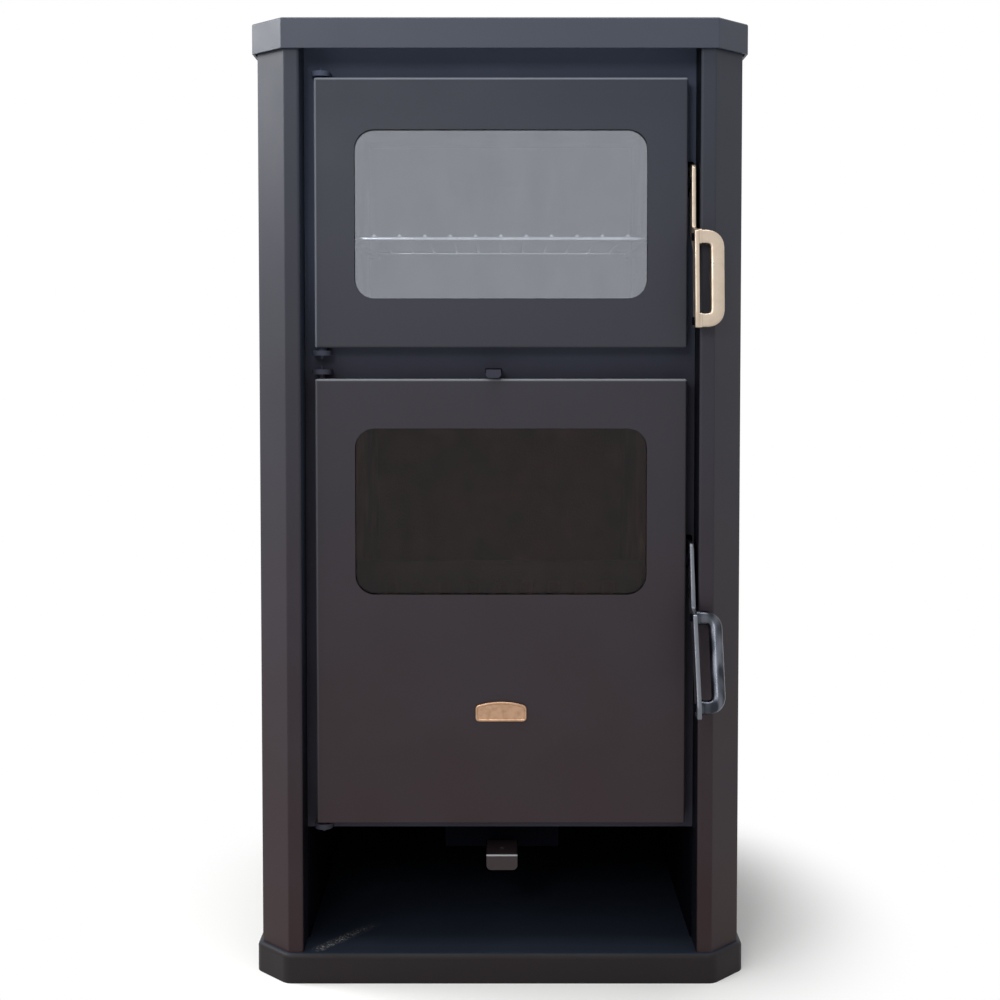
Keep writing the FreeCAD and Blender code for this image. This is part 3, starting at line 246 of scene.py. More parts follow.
@dataclass(frozen=True)
class EdgeHighlightPaint(MattPaint):
    """Stove paint on a pressed door, with a painted highlight along the rounded upper and hinge-side edges.
    """

    upper_m: float = 0.9125
    left_m: float = -0.1865
    front_m: float = -0.185
    band_m: float = 0.002
    clear_bands: float = 1.3
    full_bands: float = 0.6
    deep_bands: float = 1.6
    side_share: float = 0.75
    highlight_share: float = 0.85
    # Colour of the painted highlight.
    edge: str = "#83888F"

    def sockets(self, tree: Tree, place: Socket) -> Sockets:
        """Feed the paint, with the painted highlight's colour along the upper edge and, fading to the foot,
        the left one.

        Args:
            tree: the material's tree.
            place: Object coordinates.

        Returns:
            Inputs of the Principled shader.
        """
        inputs = super().sockets(tree, place)
        axes = add(tree, "SeparateXYZ", {"Vector": place}).node.outputs
        clear = self.clear_bands * self.band_m
        full = self.full_bands * self.band_m
        # Painted highlight: a pale line on the upper and hinge-side edges, where light from the upper left
        # falls.
        left = add(tree, "MapRange", {0: axes["X"], 1: self.left_m + clear, 2: self.left_m + full})
        upper = add(tree, "MapRange", {0: axes["Z"], 1: self.upper_m - clear, 2: self.upper_m - full})
        left_highlight_fade = add(tree, "MapRange", {0: axes["Z"], 1: self.foot_m, 2: self.top_m, 4: self.side_share})
        left = add(tree, "Math", {0: left, 1: left_highlight_fade}, operation="MULTIPLY")
        rim = add(tree, "Math", {0: left, 1: upper}, operation="MAXIMUM")
        skin = add(tree, "MapRange", {0: axes["Y"], 1: self.front_m + self.deep_bands * self.band_m,
                                      2: self.front_m + self.band_m, 4: self.highlight_share})
        share = add(tree, "Math", {0: rim, 1: skin}, operation="MULTIPLY")
        inputs["Base Color"] = add(tree, "Mix", {0: share, 6: inputs["Base Color"], 7: linear(self.edge)}, 2,
                                   data_type="RGBA")
        return inputs


@dataclass(frozen=True)
class ColumnPaint(MattPaint):
    """Stove paint on the bent side sheets; the returns carry painted shade in near-black, eased to a paler
    navy high on the left by painted light.
    """

    # Painted shade on the returns, and the paler tone that painted light gives it high on the left.
    full: str = "#0A0B12"
    return_lit_colour: str = "#2A303D"
    return_m: float = 0.199
    clear_m: float = 0.0006
    full_m: float = 0.0002
    return_lit_from_m: float = 0.2
    return_lit_to_m: float = 0.5

    def sockets(self, tree: Tree, place: Socket) -> Sockets:
        """Feed the paint, with painted shade where the distance from the middle plane is no more than the
        returns'.

        Args:
            tree: the material's tree.
            place: Object coordinates.

        Returns:
            Inputs of the Principled shader.
        """
        inputs = super().sockets(tree, place)
        axes = add(tree, "SeparateXYZ", {"Vector": place}).node.outputs
        # Painted shade on the returns, turning paler high on the left as painted light.
        left = add(tree, "MapRange", {0: axes["X"], 1: self.return_m, 2: -self.return_m})
        return_lit_share = add(tree, "MapRange", {0: axes["Z"], 1: self.return_lit_from_m, 2: self.return_lit_to_m, 4: left})
        black = add(tree, "Mix", {0: return_lit_share, 6: linear(self.full), 7: linear(self.return_lit_colour)}, 2,
                    data_type="RGBA")
        away = add(tree, "Math", {0: axes["X"]}, operation="ABSOLUTE")
        share = add(tree, "MapRange", {0: away, 1: self.return_m + self.clear_m,
                                       2: self.return_m + self.full_m})
        inputs["Base Color"] = add(tree, "Mix", {0: share, 6: inputs["Base Color"], 7: black}, 2,
                                   data_type="RGBA")
        return inputs


@dataclass(frozen=True)
class PullPaint(MattPaint):
    """Black paint on the air pull, with a painted highlight: a bright steel-grey line along the bend."""

    # Colour of the painted highlight.
    bare: str = "#AEB1B5"
    highlight_z_m: float = 0.1158
    highlight_y_m: float = -0.1598
    blur_m: float = 0.0004

    def sockets(self, tree: Tree, place: Socket) -> Sockets:
        """Feed the paint, with the painted highlight's colour above one height and in front of one depth.

        Args:
            tree: the material's tree.
            place: Object coordinates.

        Returns:
            Inputs of the Principled shader.
        """
        inputs = super().sockets(tree, place)
        axes = add(tree, "SeparateXYZ", {"Vector": place}).node.outputs
        # Painted highlight along the bend of the pull.
        upper = add(tree, "MapRange", {0: axes["Z"], 1: self.highlight_z_m - self.blur_m, 2: self.highlight_z_m})
        front = add(tree, "MapRange", {0: axes["Y"], 1: self.highlight_y_m + self.blur_m, 2: self.highlight_y_m})
        share = add(tree, "Math", {0: upper, 1: front}, operation="MULTIPLY")
        inputs["Base Color"] = add(tree, "Mix", {0: share, 6: inputs["Base Color"], 7: linear(self.bare)}, 2,
                                   data_type="RGBA")
        return inputs


@dataclass(frozen=True)
class DustyPaint(Finish):
    """Black paint of the base, with a streak of pale wood crumbs on top, at the wood store's left front; its
    top face is a bluer tone, painted light.
    """

    paint: str
    worn: str
    # Bluer tone of the top face: painted light.
    floor: str
    dust: str
    start_m: Point = (-0.19, -0.198, 0.0)
    heading_deg: float = 52.0
    length_m: float = 0.1
    half_width_m: float = 0.008
    fade_m: float = 0.01
    floor_m: float = 0.0285
    floor_fade_m: float = 0.001
    crumb_mm: float = 1.8
    crumb_low: float = 0.5
    crumb_high: float = 0.66
    crumb_detail: float = 9.0
    cloud_mm: float = 60.0
    wear_share: float = 0.3
    roughness: float = 0.5
    gloss_rise: float = 0.12
    grain_mm: float = 1.6
    grain_depth_mm: float = 0.04
    specular: float = 0.2

    def sockets(self, tree: Tree, place: Socket) -> Sockets:
        """Feed the paint with dust: crumbs times fades along the streak, across it and below floor level.

        Args:
            tree: the material's tree.
            place: Object coordinates.

        Returns:
            Inputs of the Principled shader.
        """
        level = add(tree, "SeparateXYZ", {"Vector": place}, "Z")
        heading = (0.0, 0.0, math.radians(self.heading_deg))
        drawn = add(tree, "Mapping", {"Vector": place, "Location": self.start_m, "Rotation": heading},
                    vector_type="TEXTURE")
        axes = add(tree, "SeparateXYZ", {"Vector": drawn}).node.outputs
        across = add(tree, "Math", {0: axes["Y"]}, operation="ABSOLUTE")
        fades = ((axes["X"], 0.0, self.fade_m), (axes["X"], self.length_m, self.length_m / 2),
                 (across, self.half_width_m, 0.0))
        cloud, painted = clouds(tree, place, self.cloud_mm, CLOUD_DETAIL, CLOUD_SPAN,
                                (linear(self.paint), linear(self.worn)), self.wear_share)
        # Painted light: above floor level the top face takes a bluer tone than the front.
        upper = add(tree, "MapRange", {0: level, 1: self.floor_m, 2: self.floor_m + self.floor_fade_m})
        with_lit_top = add(tree, "Mix", {0: upper, 6: painted, 7: linear(self.floor)}, 2, data_type="RGBA")
        crumbs = add(tree, "TexNoise", {"Vector": place, "Scale": per_metre(self.crumb_mm),
                                        "Detail": self.crumb_detail})
        share = add(tree, "MapRange", {0: crumbs, 1: self.crumb_low, 2: self.crumb_high, 4: upper})
        for axis, clear, full in fades:
            fade = add(tree, "MapRange", {0: axis, 1: clear, 2: full})
            share = add(tree, "Math", {0: share, 1: fade}, operation="MULTIPLY")
        colour = add(tree, "Mix", {0: share, 6: with_lit_top, 7: linear(self.dust)}, 2, data_type="RGBA")
        gloss = add(tree, "MapRange", {0: cloud, 1: GLOSS_LOW, 2: GLOSS_HIGH, 3: self.roughness,
                                       4: self.roughness + self.gloss_rise})
        return {"Base Color": colour, "Roughness": gloss, "Specular IOR Level": self.specular,
                "Normal": grained(tree, place, self.grain_mm, self.grain_depth_mm)}


@dataclass(frozen=True)
class PlatedMetal(Finish):
    """Bare or plated metal: polishing lines drawn out along one axis, with cloudy patches from handling; on
    the fire grip they are stretched into bands of painted reflection.
    """

    colour: str
    tarnish_and_sheen: str
    roughness: float
    line_mm: float = 0.6
    line_depth_mm: float = 0.004
    stretch: Point = (1.0, 1.0, 0.05)
    smudge_and_sheen_mm: float = 14.0
    smudge_and_sheen_stretch: Point = (1.0, 1.0, 1.0)
    smudge_and_sheen_span: Span = (0.4, 0.75)
    smudge_and_sheen_share: float = 0.6
    smudge_and_sheen_detail: float = 5.0
    bright_factor: float = 0.8
    dull_factor: float = 1.5

    def sockets(self, tree: Tree, place: Socket) -> Sockets:
        """Feed a metal clouded with tarnished patches, which on the fire grip are bands of painted
        reflection; the same clouds dull the gloss, and fine lines give the bump.

        Args:
            tree: the material's tree.
            place: Object coordinates.

        Returns:
            Inputs of the Principled shader.
        """
        # On the fire grip these clouds are drawn out into dark and light bands of painted reflection.
        stretched_place = add(tree, "Mapping", {"Vector": place, "Scale": self.smudge_and_sheen_stretch})
        smudge_and_sheen, colour = clouds(tree, stretched_place, self.smudge_and_sheen_mm, self.smudge_and_sheen_detail, self.smudge_and_sheen_span,
                                (linear(self.colour), linear(self.tarnish_and_sheen)), self.smudge_and_sheen_share)
        gloss = add(tree, "MapRange", {0: smudge_and_sheen, 1: GLOSS_LOW, 2: self.smudge_and_sheen_span[1],
                                       3: self.roughness * self.bright_factor,
                                       4: self.roughness * self.dull_factor})
        drawn = add(tree, "Mapping", {"Vector": place, "Scale": self.stretch})
        return {"Base Color": colour, "Metallic": 1.0, "Roughness": gloss,
                "Normal": grained(tree, drawn, self.line_mm, self.line_depth_mm)}


@dataclass(frozen=True)
class Pane(Finish):
    """Heat-resisting glass ceramic: clear, with a faint film of smoke and wiping marks that dulls it."""

    tint: str
    film: str
    ior: float
    film_share: float
    sheen: str = "#FFFFFF"
    roughness: float = 0.003
    dull_factor: float = 3.0
    streak_mm: float = 30.0
    streak_stretch: Point = (1.0, 1.0, 0.35)
    streak_span: Span = (0.35, 0.8)

    def sockets(self, tree: Tree, place: Socket) -> Sockets:
        """Feed a transmitting shader whose tint darkens along streaks drawn out downwards.

        Args:
            tree: the material's tree.
            place: Object coordinates.

        Returns:
            Inputs of the Principled shader.
        """
        drawn = add(tree, "Mapping", {"Vector": place, "Scale": self.streak_stretch})
        streak, colour = clouds(tree, drawn, self.streak_mm, STREAK_DETAIL, self.streak_span,
                                (linear(self.tint), linear(self.film)), self.film_share)
        gloss = add(tree, "MapRange", {0: streak, 1: GLOSS_LOW, 2: self.streak_span[1], 3: self.roughness,
                                       4: self.roughness * self.dull_factor})
        return {"Base Color": colour, "Roughness": gloss, "IOR": self.ior,
                "Specular Tint": linear(self.sheen), "Transmission Weight": 1.0}


@dataclass(frozen=True)
class RoughMineral(Finish):
    """Cast iron, fired clay or sooted sheet: pitted, uneven in colour and dull."""

    colour: str
    stain: str
    grain_mm: float
    grain_depth_mm: float
    roughness: float
    stain_mm: float = 45.0
    specular: float = 0.3
    stain_span: Span = (0.35, 0.65)
    gloss_spread: float = 0.07

    def sockets(self, tree: Tree, place: Socket) -> Sockets:
        """Feed two colours in clouds, with cell-shaped pits as the bump.

        Args:
            tree: the material's tree.
            place: Object coordinates.

        Returns:
            Inputs of the Principled shader.
        """
        stain, colour = clouds(tree, place, self.stain_mm, STREAK_DETAIL, self.stain_span,
                               (linear(self.colour), linear(self.stain)))
        gloss = add(tree, "MapRange", {0: stain, 1: GLOSS_LOW, 2: GLOSS_HIGH,
                                       3: self.roughness - self.gloss_spread,
                                       4: self.roughness + self.gloss_spread})
        pits = add(tree, "TexVoronoi", {"Vector": place, "Scale": per_metre(self.grain_mm)})
        normal = add(tree, "Bump", {"Height": pits, "Distance": self.grain_depth_mm * MM})
        return {"Base Color": colour, "Roughness": gloss, "Specular IOR Level": self.specular,
                "Normal": normal}


@dataclass(frozen=True)
class KnittedRope(Finish):
    """Knitted glass-fibre rope: soft, dull and greyed by soot."""

    colour: str
    soot: str
    soot_mm: float = 40.0
    fibre_mm: float = 0.9
    fibre_depth_mm: float = 0.2
    roughness: float = 0.85
    dullest: float = 0.97
    sheen: float = 0.3

    def sockets(self, tree: Tree, place: Socket) -> Sockets:
        """Feed clouds of soot on pale yarn, with fine fibres as the bump.

        Args:
            tree: the material's tree.
            place: Object coordinates.

        Returns:
            Inputs of the Principled shader.
        """
        _, colour = clouds(tree, place, self.soot_mm, CLOUD_DETAIL, CLOUD_SPAN,
                           (linear(self.colour), linear(self.soot)))
        fibres = add(tree, "TexNoise", {"Vector": place, "Scale": per_metre(self.fibre_mm),
                                        "Detail": STREAK_DETAIL})
        dull = add(tree, "MapRange", {0: fibres, 1: GLOSS_LOW, 2: GLOSS_HIGH, 3: self.roughness,
                                      4: self.dullest})
        normal = add(tree, "Bump", {"Height": fibres, "Distance": self.fibre_depth_mm * MM})
        return {"Base Color": colour, "Roughness": dull, "Sheen Weight": self.sheen, "Normal": normal}


# Dark grey sheets: a soft broad sheen, bluish at the top as painted light from above and browner at the foot
# as painted reflection of a brown floor.
# The cap takes a paler, glossier copy of the case's paint: painted light from above.
PAINT_CAP = MattPaint("Matt stove paint on the cap", "#404551", "#261B1E", "#4A4E59", 0.46, 0.28)
PAINT_CASE = ColumnPaint("Matt stove paint on the case", "#363A44", "#2B1B1D", "#3D3F47", 0.46, 0.19)
# The doors add a painted highlight: a narrow pale line along the upper and hinge-side edges, paler on the
# oven door.
PAINT_OVEN_DOOR = EdgeHighlightPaint("Matt stove paint on the oven door", "#363A45", "#261B1D", "#3A3B43",
                                  0.46, 0.26, edge="#A4AAB6")
PAINT_FIRE_DOOR = EdgeHighlightPaint("Matt stove paint on the fire door", "#343740", "#2A1A1C", "#383941",
                                  0.46, 0.24, upper_m=0.611)
# Behind the doors and under the firebox the paint is dull and reads as shade; its colour is painted light, a
# pale blue-grey high up where light reaches into the gaps, darker below.
PAINT_RECESS = MattPaint("Matt black paint in the recess", "#525A6E", "#302F38", "#4A5060", 0.6, 0.12,
                         foot_m=0.6, top_m=0.75)
# In the wood store, the firebox floor and the air box the black is darkened almost to nothing: painted shade.
PAINT_LINER = MattPaint("Near-black painted shade in the wood store", "#05060C", "#04050C", "#08090F", 0.8, 0.03)
# A painted highlight on the pull's bend; signs of use: pale crumbs on the base.
PAINT_PULL = PullPaint("Black paint with a painted highlight on the air pull", "#2A2A30", "#33282A", "#403A3C", 0.5, 0.28)
PAINT_BASE = DustyPaint("Dusty black paint on the base", "#1C1719", "#231C1D", "#1D232E", "#A6A4A0")
# Inside: brownish soot on steel, greyer in the oven, warm grainy brick and pitted iron.
STEEL_SOOTED = RoughMineral("Sooted sheet steel", "#1E1A19", "#352B27", 3.0, 0.05, 0.62)
STEEL_OVEN = RoughMineral("Oven sheet steel", "#3B3A3B", "#2B2A2B", 2.5, 0.03, 0.5, 80.0, 0.45)
CLAY_BRICK = RoughMineral("Fired clay brick", "#8A6553", "#5A4036", 2.2, 0.25, 0.85, 60.0, 0.2)
IRON_CAST = RoughMineral("Grey cast iron", "#2A2725", "#3D322C", 1.4, 0.12, 0.7, 35.0)
# The rack's wire glints. The lever is dull, and the grip's soft dark and light streaks along its bar are
# painted reflection.
CHROME_WIRE = PlatedMetal("Chromed rack wire", "#E6E7E8", "#B9BCC0", 0.12, stretch=(0.05, 1.0, 1.0))
CHROME_LEVER = PlatedMetal("Dull chrome on the fire lever", "#6E7178", "#5C5F66", 0.34, line_depth_mm=0.0004)
CHROME_GRIP = PlatedMetal("Polished chrome on the fire grip", "#2E3137", "#62656D", 0.22, smudge_and_sheen_mm=7.0,
                          smudge_and_sheen_stretch=(1.0, 1.0, 0.015), smudge_and_sheen_share=1.0, smudge_and_sheen_detail=0.0)
# Nickel is a warm cream beside the chrome, zinc a cold grey and bronze a coppery tan.
NICKEL_HANDLE = PlatedMetal("Satin nickel on the oven latch", "#C2B3A2", "#A69684", 0.34,
                            line_depth_mm=0.0004)
ZINC_STEEL = PlatedMetal("Zinc-plated steel", "#A9ABAE", "#77797C", 0.34)
BRONZE_CAST = PlatedMetal("Cast bronze", "#B8957A", "#8E6F57", 0.36, 1.2, 0.05, (1.0, 1.0, 1.0), 5.0)
# A coating makes the oven's pane mirror pale grey, which a high IOR stands for. Smoke browns the fire's pane.
GLASS_OVEN = Pane("Heat-reflecting oven glass", "#E4E9F0", "#C8CED6", 2.42, 0.6, "#F2F6FF")
GLASS_FIRE = Pane("Smoked stove glass", "#BDAEAA", "#8A7A74", 1.28, 0.7)
# Dull grey yarn with a rough, fibrous skin.
ROPE_KNIT = KnittedRope("Knitted glass rope", "#6C6A66", "#2B2927")


def dress(nodes: Iterable[str], material: Material) -> None:
    """Give CAD nodes a finish.

    Args:
        nodes: names of the nodes.
        material: the finish that each node takes.
    """
    for name in nodes:
        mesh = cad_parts[name].data
        mesh.materials.clear()
        mesh.materials.append(material)
        LOG.info("%s dressed in: %s", name, material.name)


def seat(piece: bpy.types.Object, body: str, slot: str, *nodes: str) -> None:
    """Make a finished piece ride on a body in place of CAD nodes, and log it.

    Args:
        piece: the finished piece.
        body: the CAD body that it moves with.
        slot: name of the material slot; not used.
        nodes: CAD nodes that the piece stands for.
    """
    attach(piece, body)
    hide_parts(*nodes)
    LOG.info("%s rides on %s for %s", piece.name, body, ", ".join(nodes))


def surface(name: str, grids: list[np.ndarray], material: Material, ring: bool = False,
            sharp_deg: float = 40.0) -> bpy.types.Object:
    """Make one mesh object from closed tubes of points.

    Each grid is (rows, columns, 3) in metres. Quads join neighbouring rows and columns, and the last column
    joins the first. The two end rows are closed by one face each, or with ring set the last joins the first.
    A tube whose signed volume is negative is turned round, so that its faces look outwards.

    Args:
        name: the object's name.
        grids: the tubes.
        material: the finish.
        ring: whether rows close on themselves.
        sharp_deg: angle between faces above which an edge stays sharp.

    Returns:
        The new object at the origin.
    """
    faces: list[list[int]] = []
    start = 0
    for grid in grids:
        rows, columns = grid.shape[:2]
        index = start + np.arange(rows * columns).reshape(rows, columns)
        near = index if ring else index[:-1]
        far = np.roll(index, -1, axis=0) if ring else index[1:]
        quads = np.stack([near, np.roll(near, -1, axis=1), np.roll(far, -1, axis=1), far], axis=-1)
        quads = quads.reshape(-1, 4)
        ends = [] if ring else [index[0, ::-1], index[-1]]
        corners = grid.reshape(-1, 3)[quads - start]
        middle = corners.mean(axis=(0, 1))
        first, second, third, fourth = (corners - middle).transpose(1, 0, 2)
        volume = np.einsum("ij,ij->", first, np.cross(second, third) + np.cross(third, fourth))
        step = 1 if volume > 0 else -1
        faces += quads[:, ::step].tolist() + [end[::step].tolist() for end in ends]
        start += rows * columns
    mesh = bpy.data.meshes.new(name)
    mesh.from_pydata(np.concatenate([grid.reshape(-1, 3) for grid in grids]).tolist(), [], faces)
    mesh.polygons.foreach_set("use_smooth", np.ones(len(mesh.polygons), dtype=bool))
    mesh.set_sharp_from_angle(angle=math.radians(sharp_deg))
    mesh.materials.append(material)
    piece = bpy.data.objects.new(name, mesh)
    bpy.context.scene.collection.objects.link(piece)
    return piece


def superellipse(width: float, depth: float, power: float, count: int) -> np.ndarray:
    """Closed section |u/a|^n + |v/b|^n = 1: round for n = 2, a bar with flat faces for a large n.

    Args:
        width: full size across.
        depth: full size the other way.
        power: exponent n.
        count: points round the section.

    Returns:
        Array (count, 2) of offsets.
    """
    turn = np.linspace(0.0, 2.0 * np.pi, count, endpoint=False)
    wave = np.stack([np.cos(turn), np.sin(turn)], axis=1)
    return np.sign(wave) * np.abs(wave) ** (2.0 / power) * np.array([width, depth]) / 2


def soft_corners(corners: np.ndarray, radius: np.ndarray, steps: int, closed: bool = True) -> np.ndarray:
    """Round a polygon's corners: each becomes a quadratic curve between points a radius away on its sides.

    Args:
        corners: array (n, 2).
        radius: distance cut off at each corner, (n,) or one value.
        steps: points on each corner.
        closed: whether the line closes; the ends of an open line stay as they are.

    Returns:
        Array (m, 2) of points in order.
    """
    back = np.roll(corners, 1, axis=0) - corners
    ahead = np.roll(corners, -1, axis=0) - corners
    reach = np.broadcast_to(np.asarray(radius, dtype=float), (len(corners),))[:, None]
    start = corners + back / np.linalg.norm(back, axis=1, keepdims=True) * reach
    end = corners + ahead / np.linalg.norm(ahead, axis=1, keepdims=True) * reach
    share = np.linspace(0.0, 1.0, steps)[None, :, None]
    bends = start[:, None] * (1 - share) ** 2 + end[:, None] * share ** 2
    bends += corners[:, None] * 2 * share * (1 - share)
    if closed:
        return bends.reshape(-1, 2)
    return np.concatenate([corners[:1], bends[1:-1].reshape(-1, 2), corners[-1:]])


def outward(points: np.ndarray) -> np.ndarray:
    """Unit normals of a closed anticlockwise line, from the run between each point's two neighbours.

    Args:
        points: array (n, 2).

    Returns:
        Array (n, 2) that points out of the outline.
    """
    run = np.roll(points, -1, axis=0) - np.roll(points, 1, axis=0)
    run = run / np.linalg.norm(run, axis=1, keepdims=True)
    return np.stack([run[:, 1], -run[:, 0]], axis=1)


def turned(rows: np.ndarray, radii: np.ndarray, centre: np.ndarray, axis: np.ndarray,
           aside: np.ndarray) -> np.ndarray:
    """Turn a profile round an axis: centre + height times axis + radius times the turning direction.

    Args:
        rows: heights along the axis, (n,).
        radii: radius of each row at each turn, (n, count).
        centre: point on the axis at height nought.
        axis: unit direction of the axis.
        aside: unit direction of the first turn, square to the axis.

    Returns:
        Grid (n, count, 3).
    """
    turn = np.linspace(0.0, 2.0 * np.pi, radii.shape[1], endpoint=False)[:, None]
    ring = np.cos(turn) * aside + np.sin(turn) * np.cross(axis, aside)
    return centre + rows[:, None, None] * axis + radii[:, :, None] * ring[None]


@dataclass
class ScrewSet:
    """Pan-head screws with a six-sided socket: domed head, rounded rim, hexagonal recess."""

    name: str
    node: str
    body: str
    centres_mm: np.ndarray
    axis: Point
    aside: Point = (1.0, 0.0, 0.0)
    head_radius_mm: float = 4.0
    head_mm: float = 2.5
    dome: tuple[tuple[float, float], ...] = ((1.0, 0.0), (1.0, 0.45), (0.97, 0.7), (0.88, 0.9), (0.72, 1.0))
    socket_mm: float = 1.9
    socket_depth_mm: float = 1.4
    socket_flare: float = 1.06
    socket_lip_mm: float = 0.15
    count: int = 36
    sharp_deg: float = 30.0

    def build(self, material: Material) -> None:
        """Build every head as one piece.

        The outer rows are the dome's shares of the head's radius and height. In the socket the radius is that
        of a hexagon, a / cos(angle to the nearest flat), so the recess has six sides.

        Args:
            material: the screws' finish.
        """
        turn = np.linspace(0.0, 2.0 * np.pi, self.count, endpoint=False)
        sixth = np.pi / 3
        hexagon = 1.0 / np.cos((turn + sixth / 2) % sixth - sixth / 2)
        dome = np.array(self.dome)
        rim = dome[:, :1] * self.head_radius_mm * np.ones(self.count)
        socket = np.array([self.socket_flare, 1.0, 1.0])[:, None] * self.socket_mm * hexagon
        socket_rows = self.head_mm - np.array([0.0, self.socket_lip_mm, self.socket_depth_mm])
        rows = np.concatenate([dome[:, 1] * self.head_mm, socket_rows]) * MM
        radii = np.concatenate([rim, socket]) * MM
        axis = np.array(self.axis)
        aside = np.array(self.aside)
        grids = [turned(rows, radii, centre * MM, axis, aside) for centre in self.centres_mm]
        piece = surface(self.name, grids, material, sharp_deg=self.sharp_deg)
        seat(piece, self.body, "zinc_steel", self.node)


@dataclass
class Case:
    """Painted shell of the stove: base, cap, bent side panels, back and flue spigot, with their screws."""

    shell: tuple[str, ...] = ("left_side_panel", "right_side_panel", "back_panel", "flue_spigot")
    screw_x_mm: float = 233.0
    screw_y_mm: float = 455.0 - SETBACK_MM
    screw_low_mm: float = 146.75
    screw_pitch_mm: float = 233.5
    screw_rows: int = 4
    flue_y_mm: float = 347.0 - SETBACK_MM
    flue_screws: int = 4
    flue_screw_ring_mm: float = 75.0
    flue_screw_z_mm: float = 971.0

    def build(self) -> None:
        """Build the screw heads on the back and on the flue's flange."""
        zinc = ZINC_STEEL.make()
        heights = self.screw_low_mm + self.screw_pitch_mm * np.arange(self.screw_rows)
        sides = np.array([-self.screw_x_mm, self.screw_x_mm])
        x, z = (value.ravel() for value in np.meshgrid(sides, heights))
        back = np.stack([x, np.full_like(x, self.screw_y_mm), z], axis=1)
        ScrewSet("back_screw_heads", "back_screws", "case", back, axis=(0.0, 1.0, 0.0)).build(zinc)
        turn = 2.0 * np.pi * (np.arange(self.flue_screws) + 0.5) / self.flue_screws
        ring = self.flue_screw_ring_mm
        flue = np.stack([ring * np.cos(turn), self.flue_y_mm + ring * np.sin(turn),
                         np.full_like(turn, self.flue_screw_z_mm)], axis=1)
        ScrewSet("flue_screw_heads", "flue_screws", "case", flue, axis=(0.0, 0.0, 1.0)).build(zinc)

    def dress(self) -> None:
        """Paint the shell, and dust the base in the wood store."""
        dress(self.shell, PAINT_CASE.make())
        dress(("cooktop_cover",), PAINT_CAP.make())
        dress(("base_tray",), PAINT_BASE.make())


@dataclass
class Recess:
    """Dark sheets behind and between the doors, with hinges, air strips and the wood store's lining."""

    black: tuple[str, ...] = ("front_plate", "damper_slide", "damper_guide", "hinge_lugs", "hinge_pins",
                              "hinge_washers")
    lining: tuple[str, ...] = ("wood_store_liner", "firebox_floor", "primary_air_box")
    pulls: tuple[str, ...] = ("primary_air_slide",)

    def dress(self) -> None:
        """Paint the sheets black: lightened by painted light in the recess, darkened to painted shade in the
        wood store, with a painted highlight on the pull.
        """
        dress(self.black, PAINT_RECESS.make())
        dress(self.lining, PAINT_LINER.make())
        dress(self.pulls, PAINT_PULL.make())


@dataclass
class Firebox:
    """Inside of the stove: sheets, bricks, grate, log guard and ash pan."""

    sheets: tuple[str, ...] = ("left_inner_wall", "right_inner_wall", "back_inner_wall", "baffle_plate",
                               "ash_pan", "ash_pan_runners", "fire_heat_shield")
    bricks: tuple[str, ...] = ("left_firebrick", "right_firebrick", "rear_firebrick")
    castings: tuple[str, ...] = ("grate_frame", "fire_grate", "log_guard")
    oven_sheets: tuple[str, ...] = ("oven_box", "oven_rack_rails")

    def dress(self) -> None:
        """Give steel, clay, iron and the oven's rack their finishes."""
        dress(self.sheets, STEEL_SOOTED.make())
        dress(self.bricks, CLAY_BRICK.make())
        dress(self.castings, IRON_CAST.make())
        dress(self.oven_sheets, STEEL_OVEN.make())
        dress(("oven_rack",), CHROME_WIRE.make())


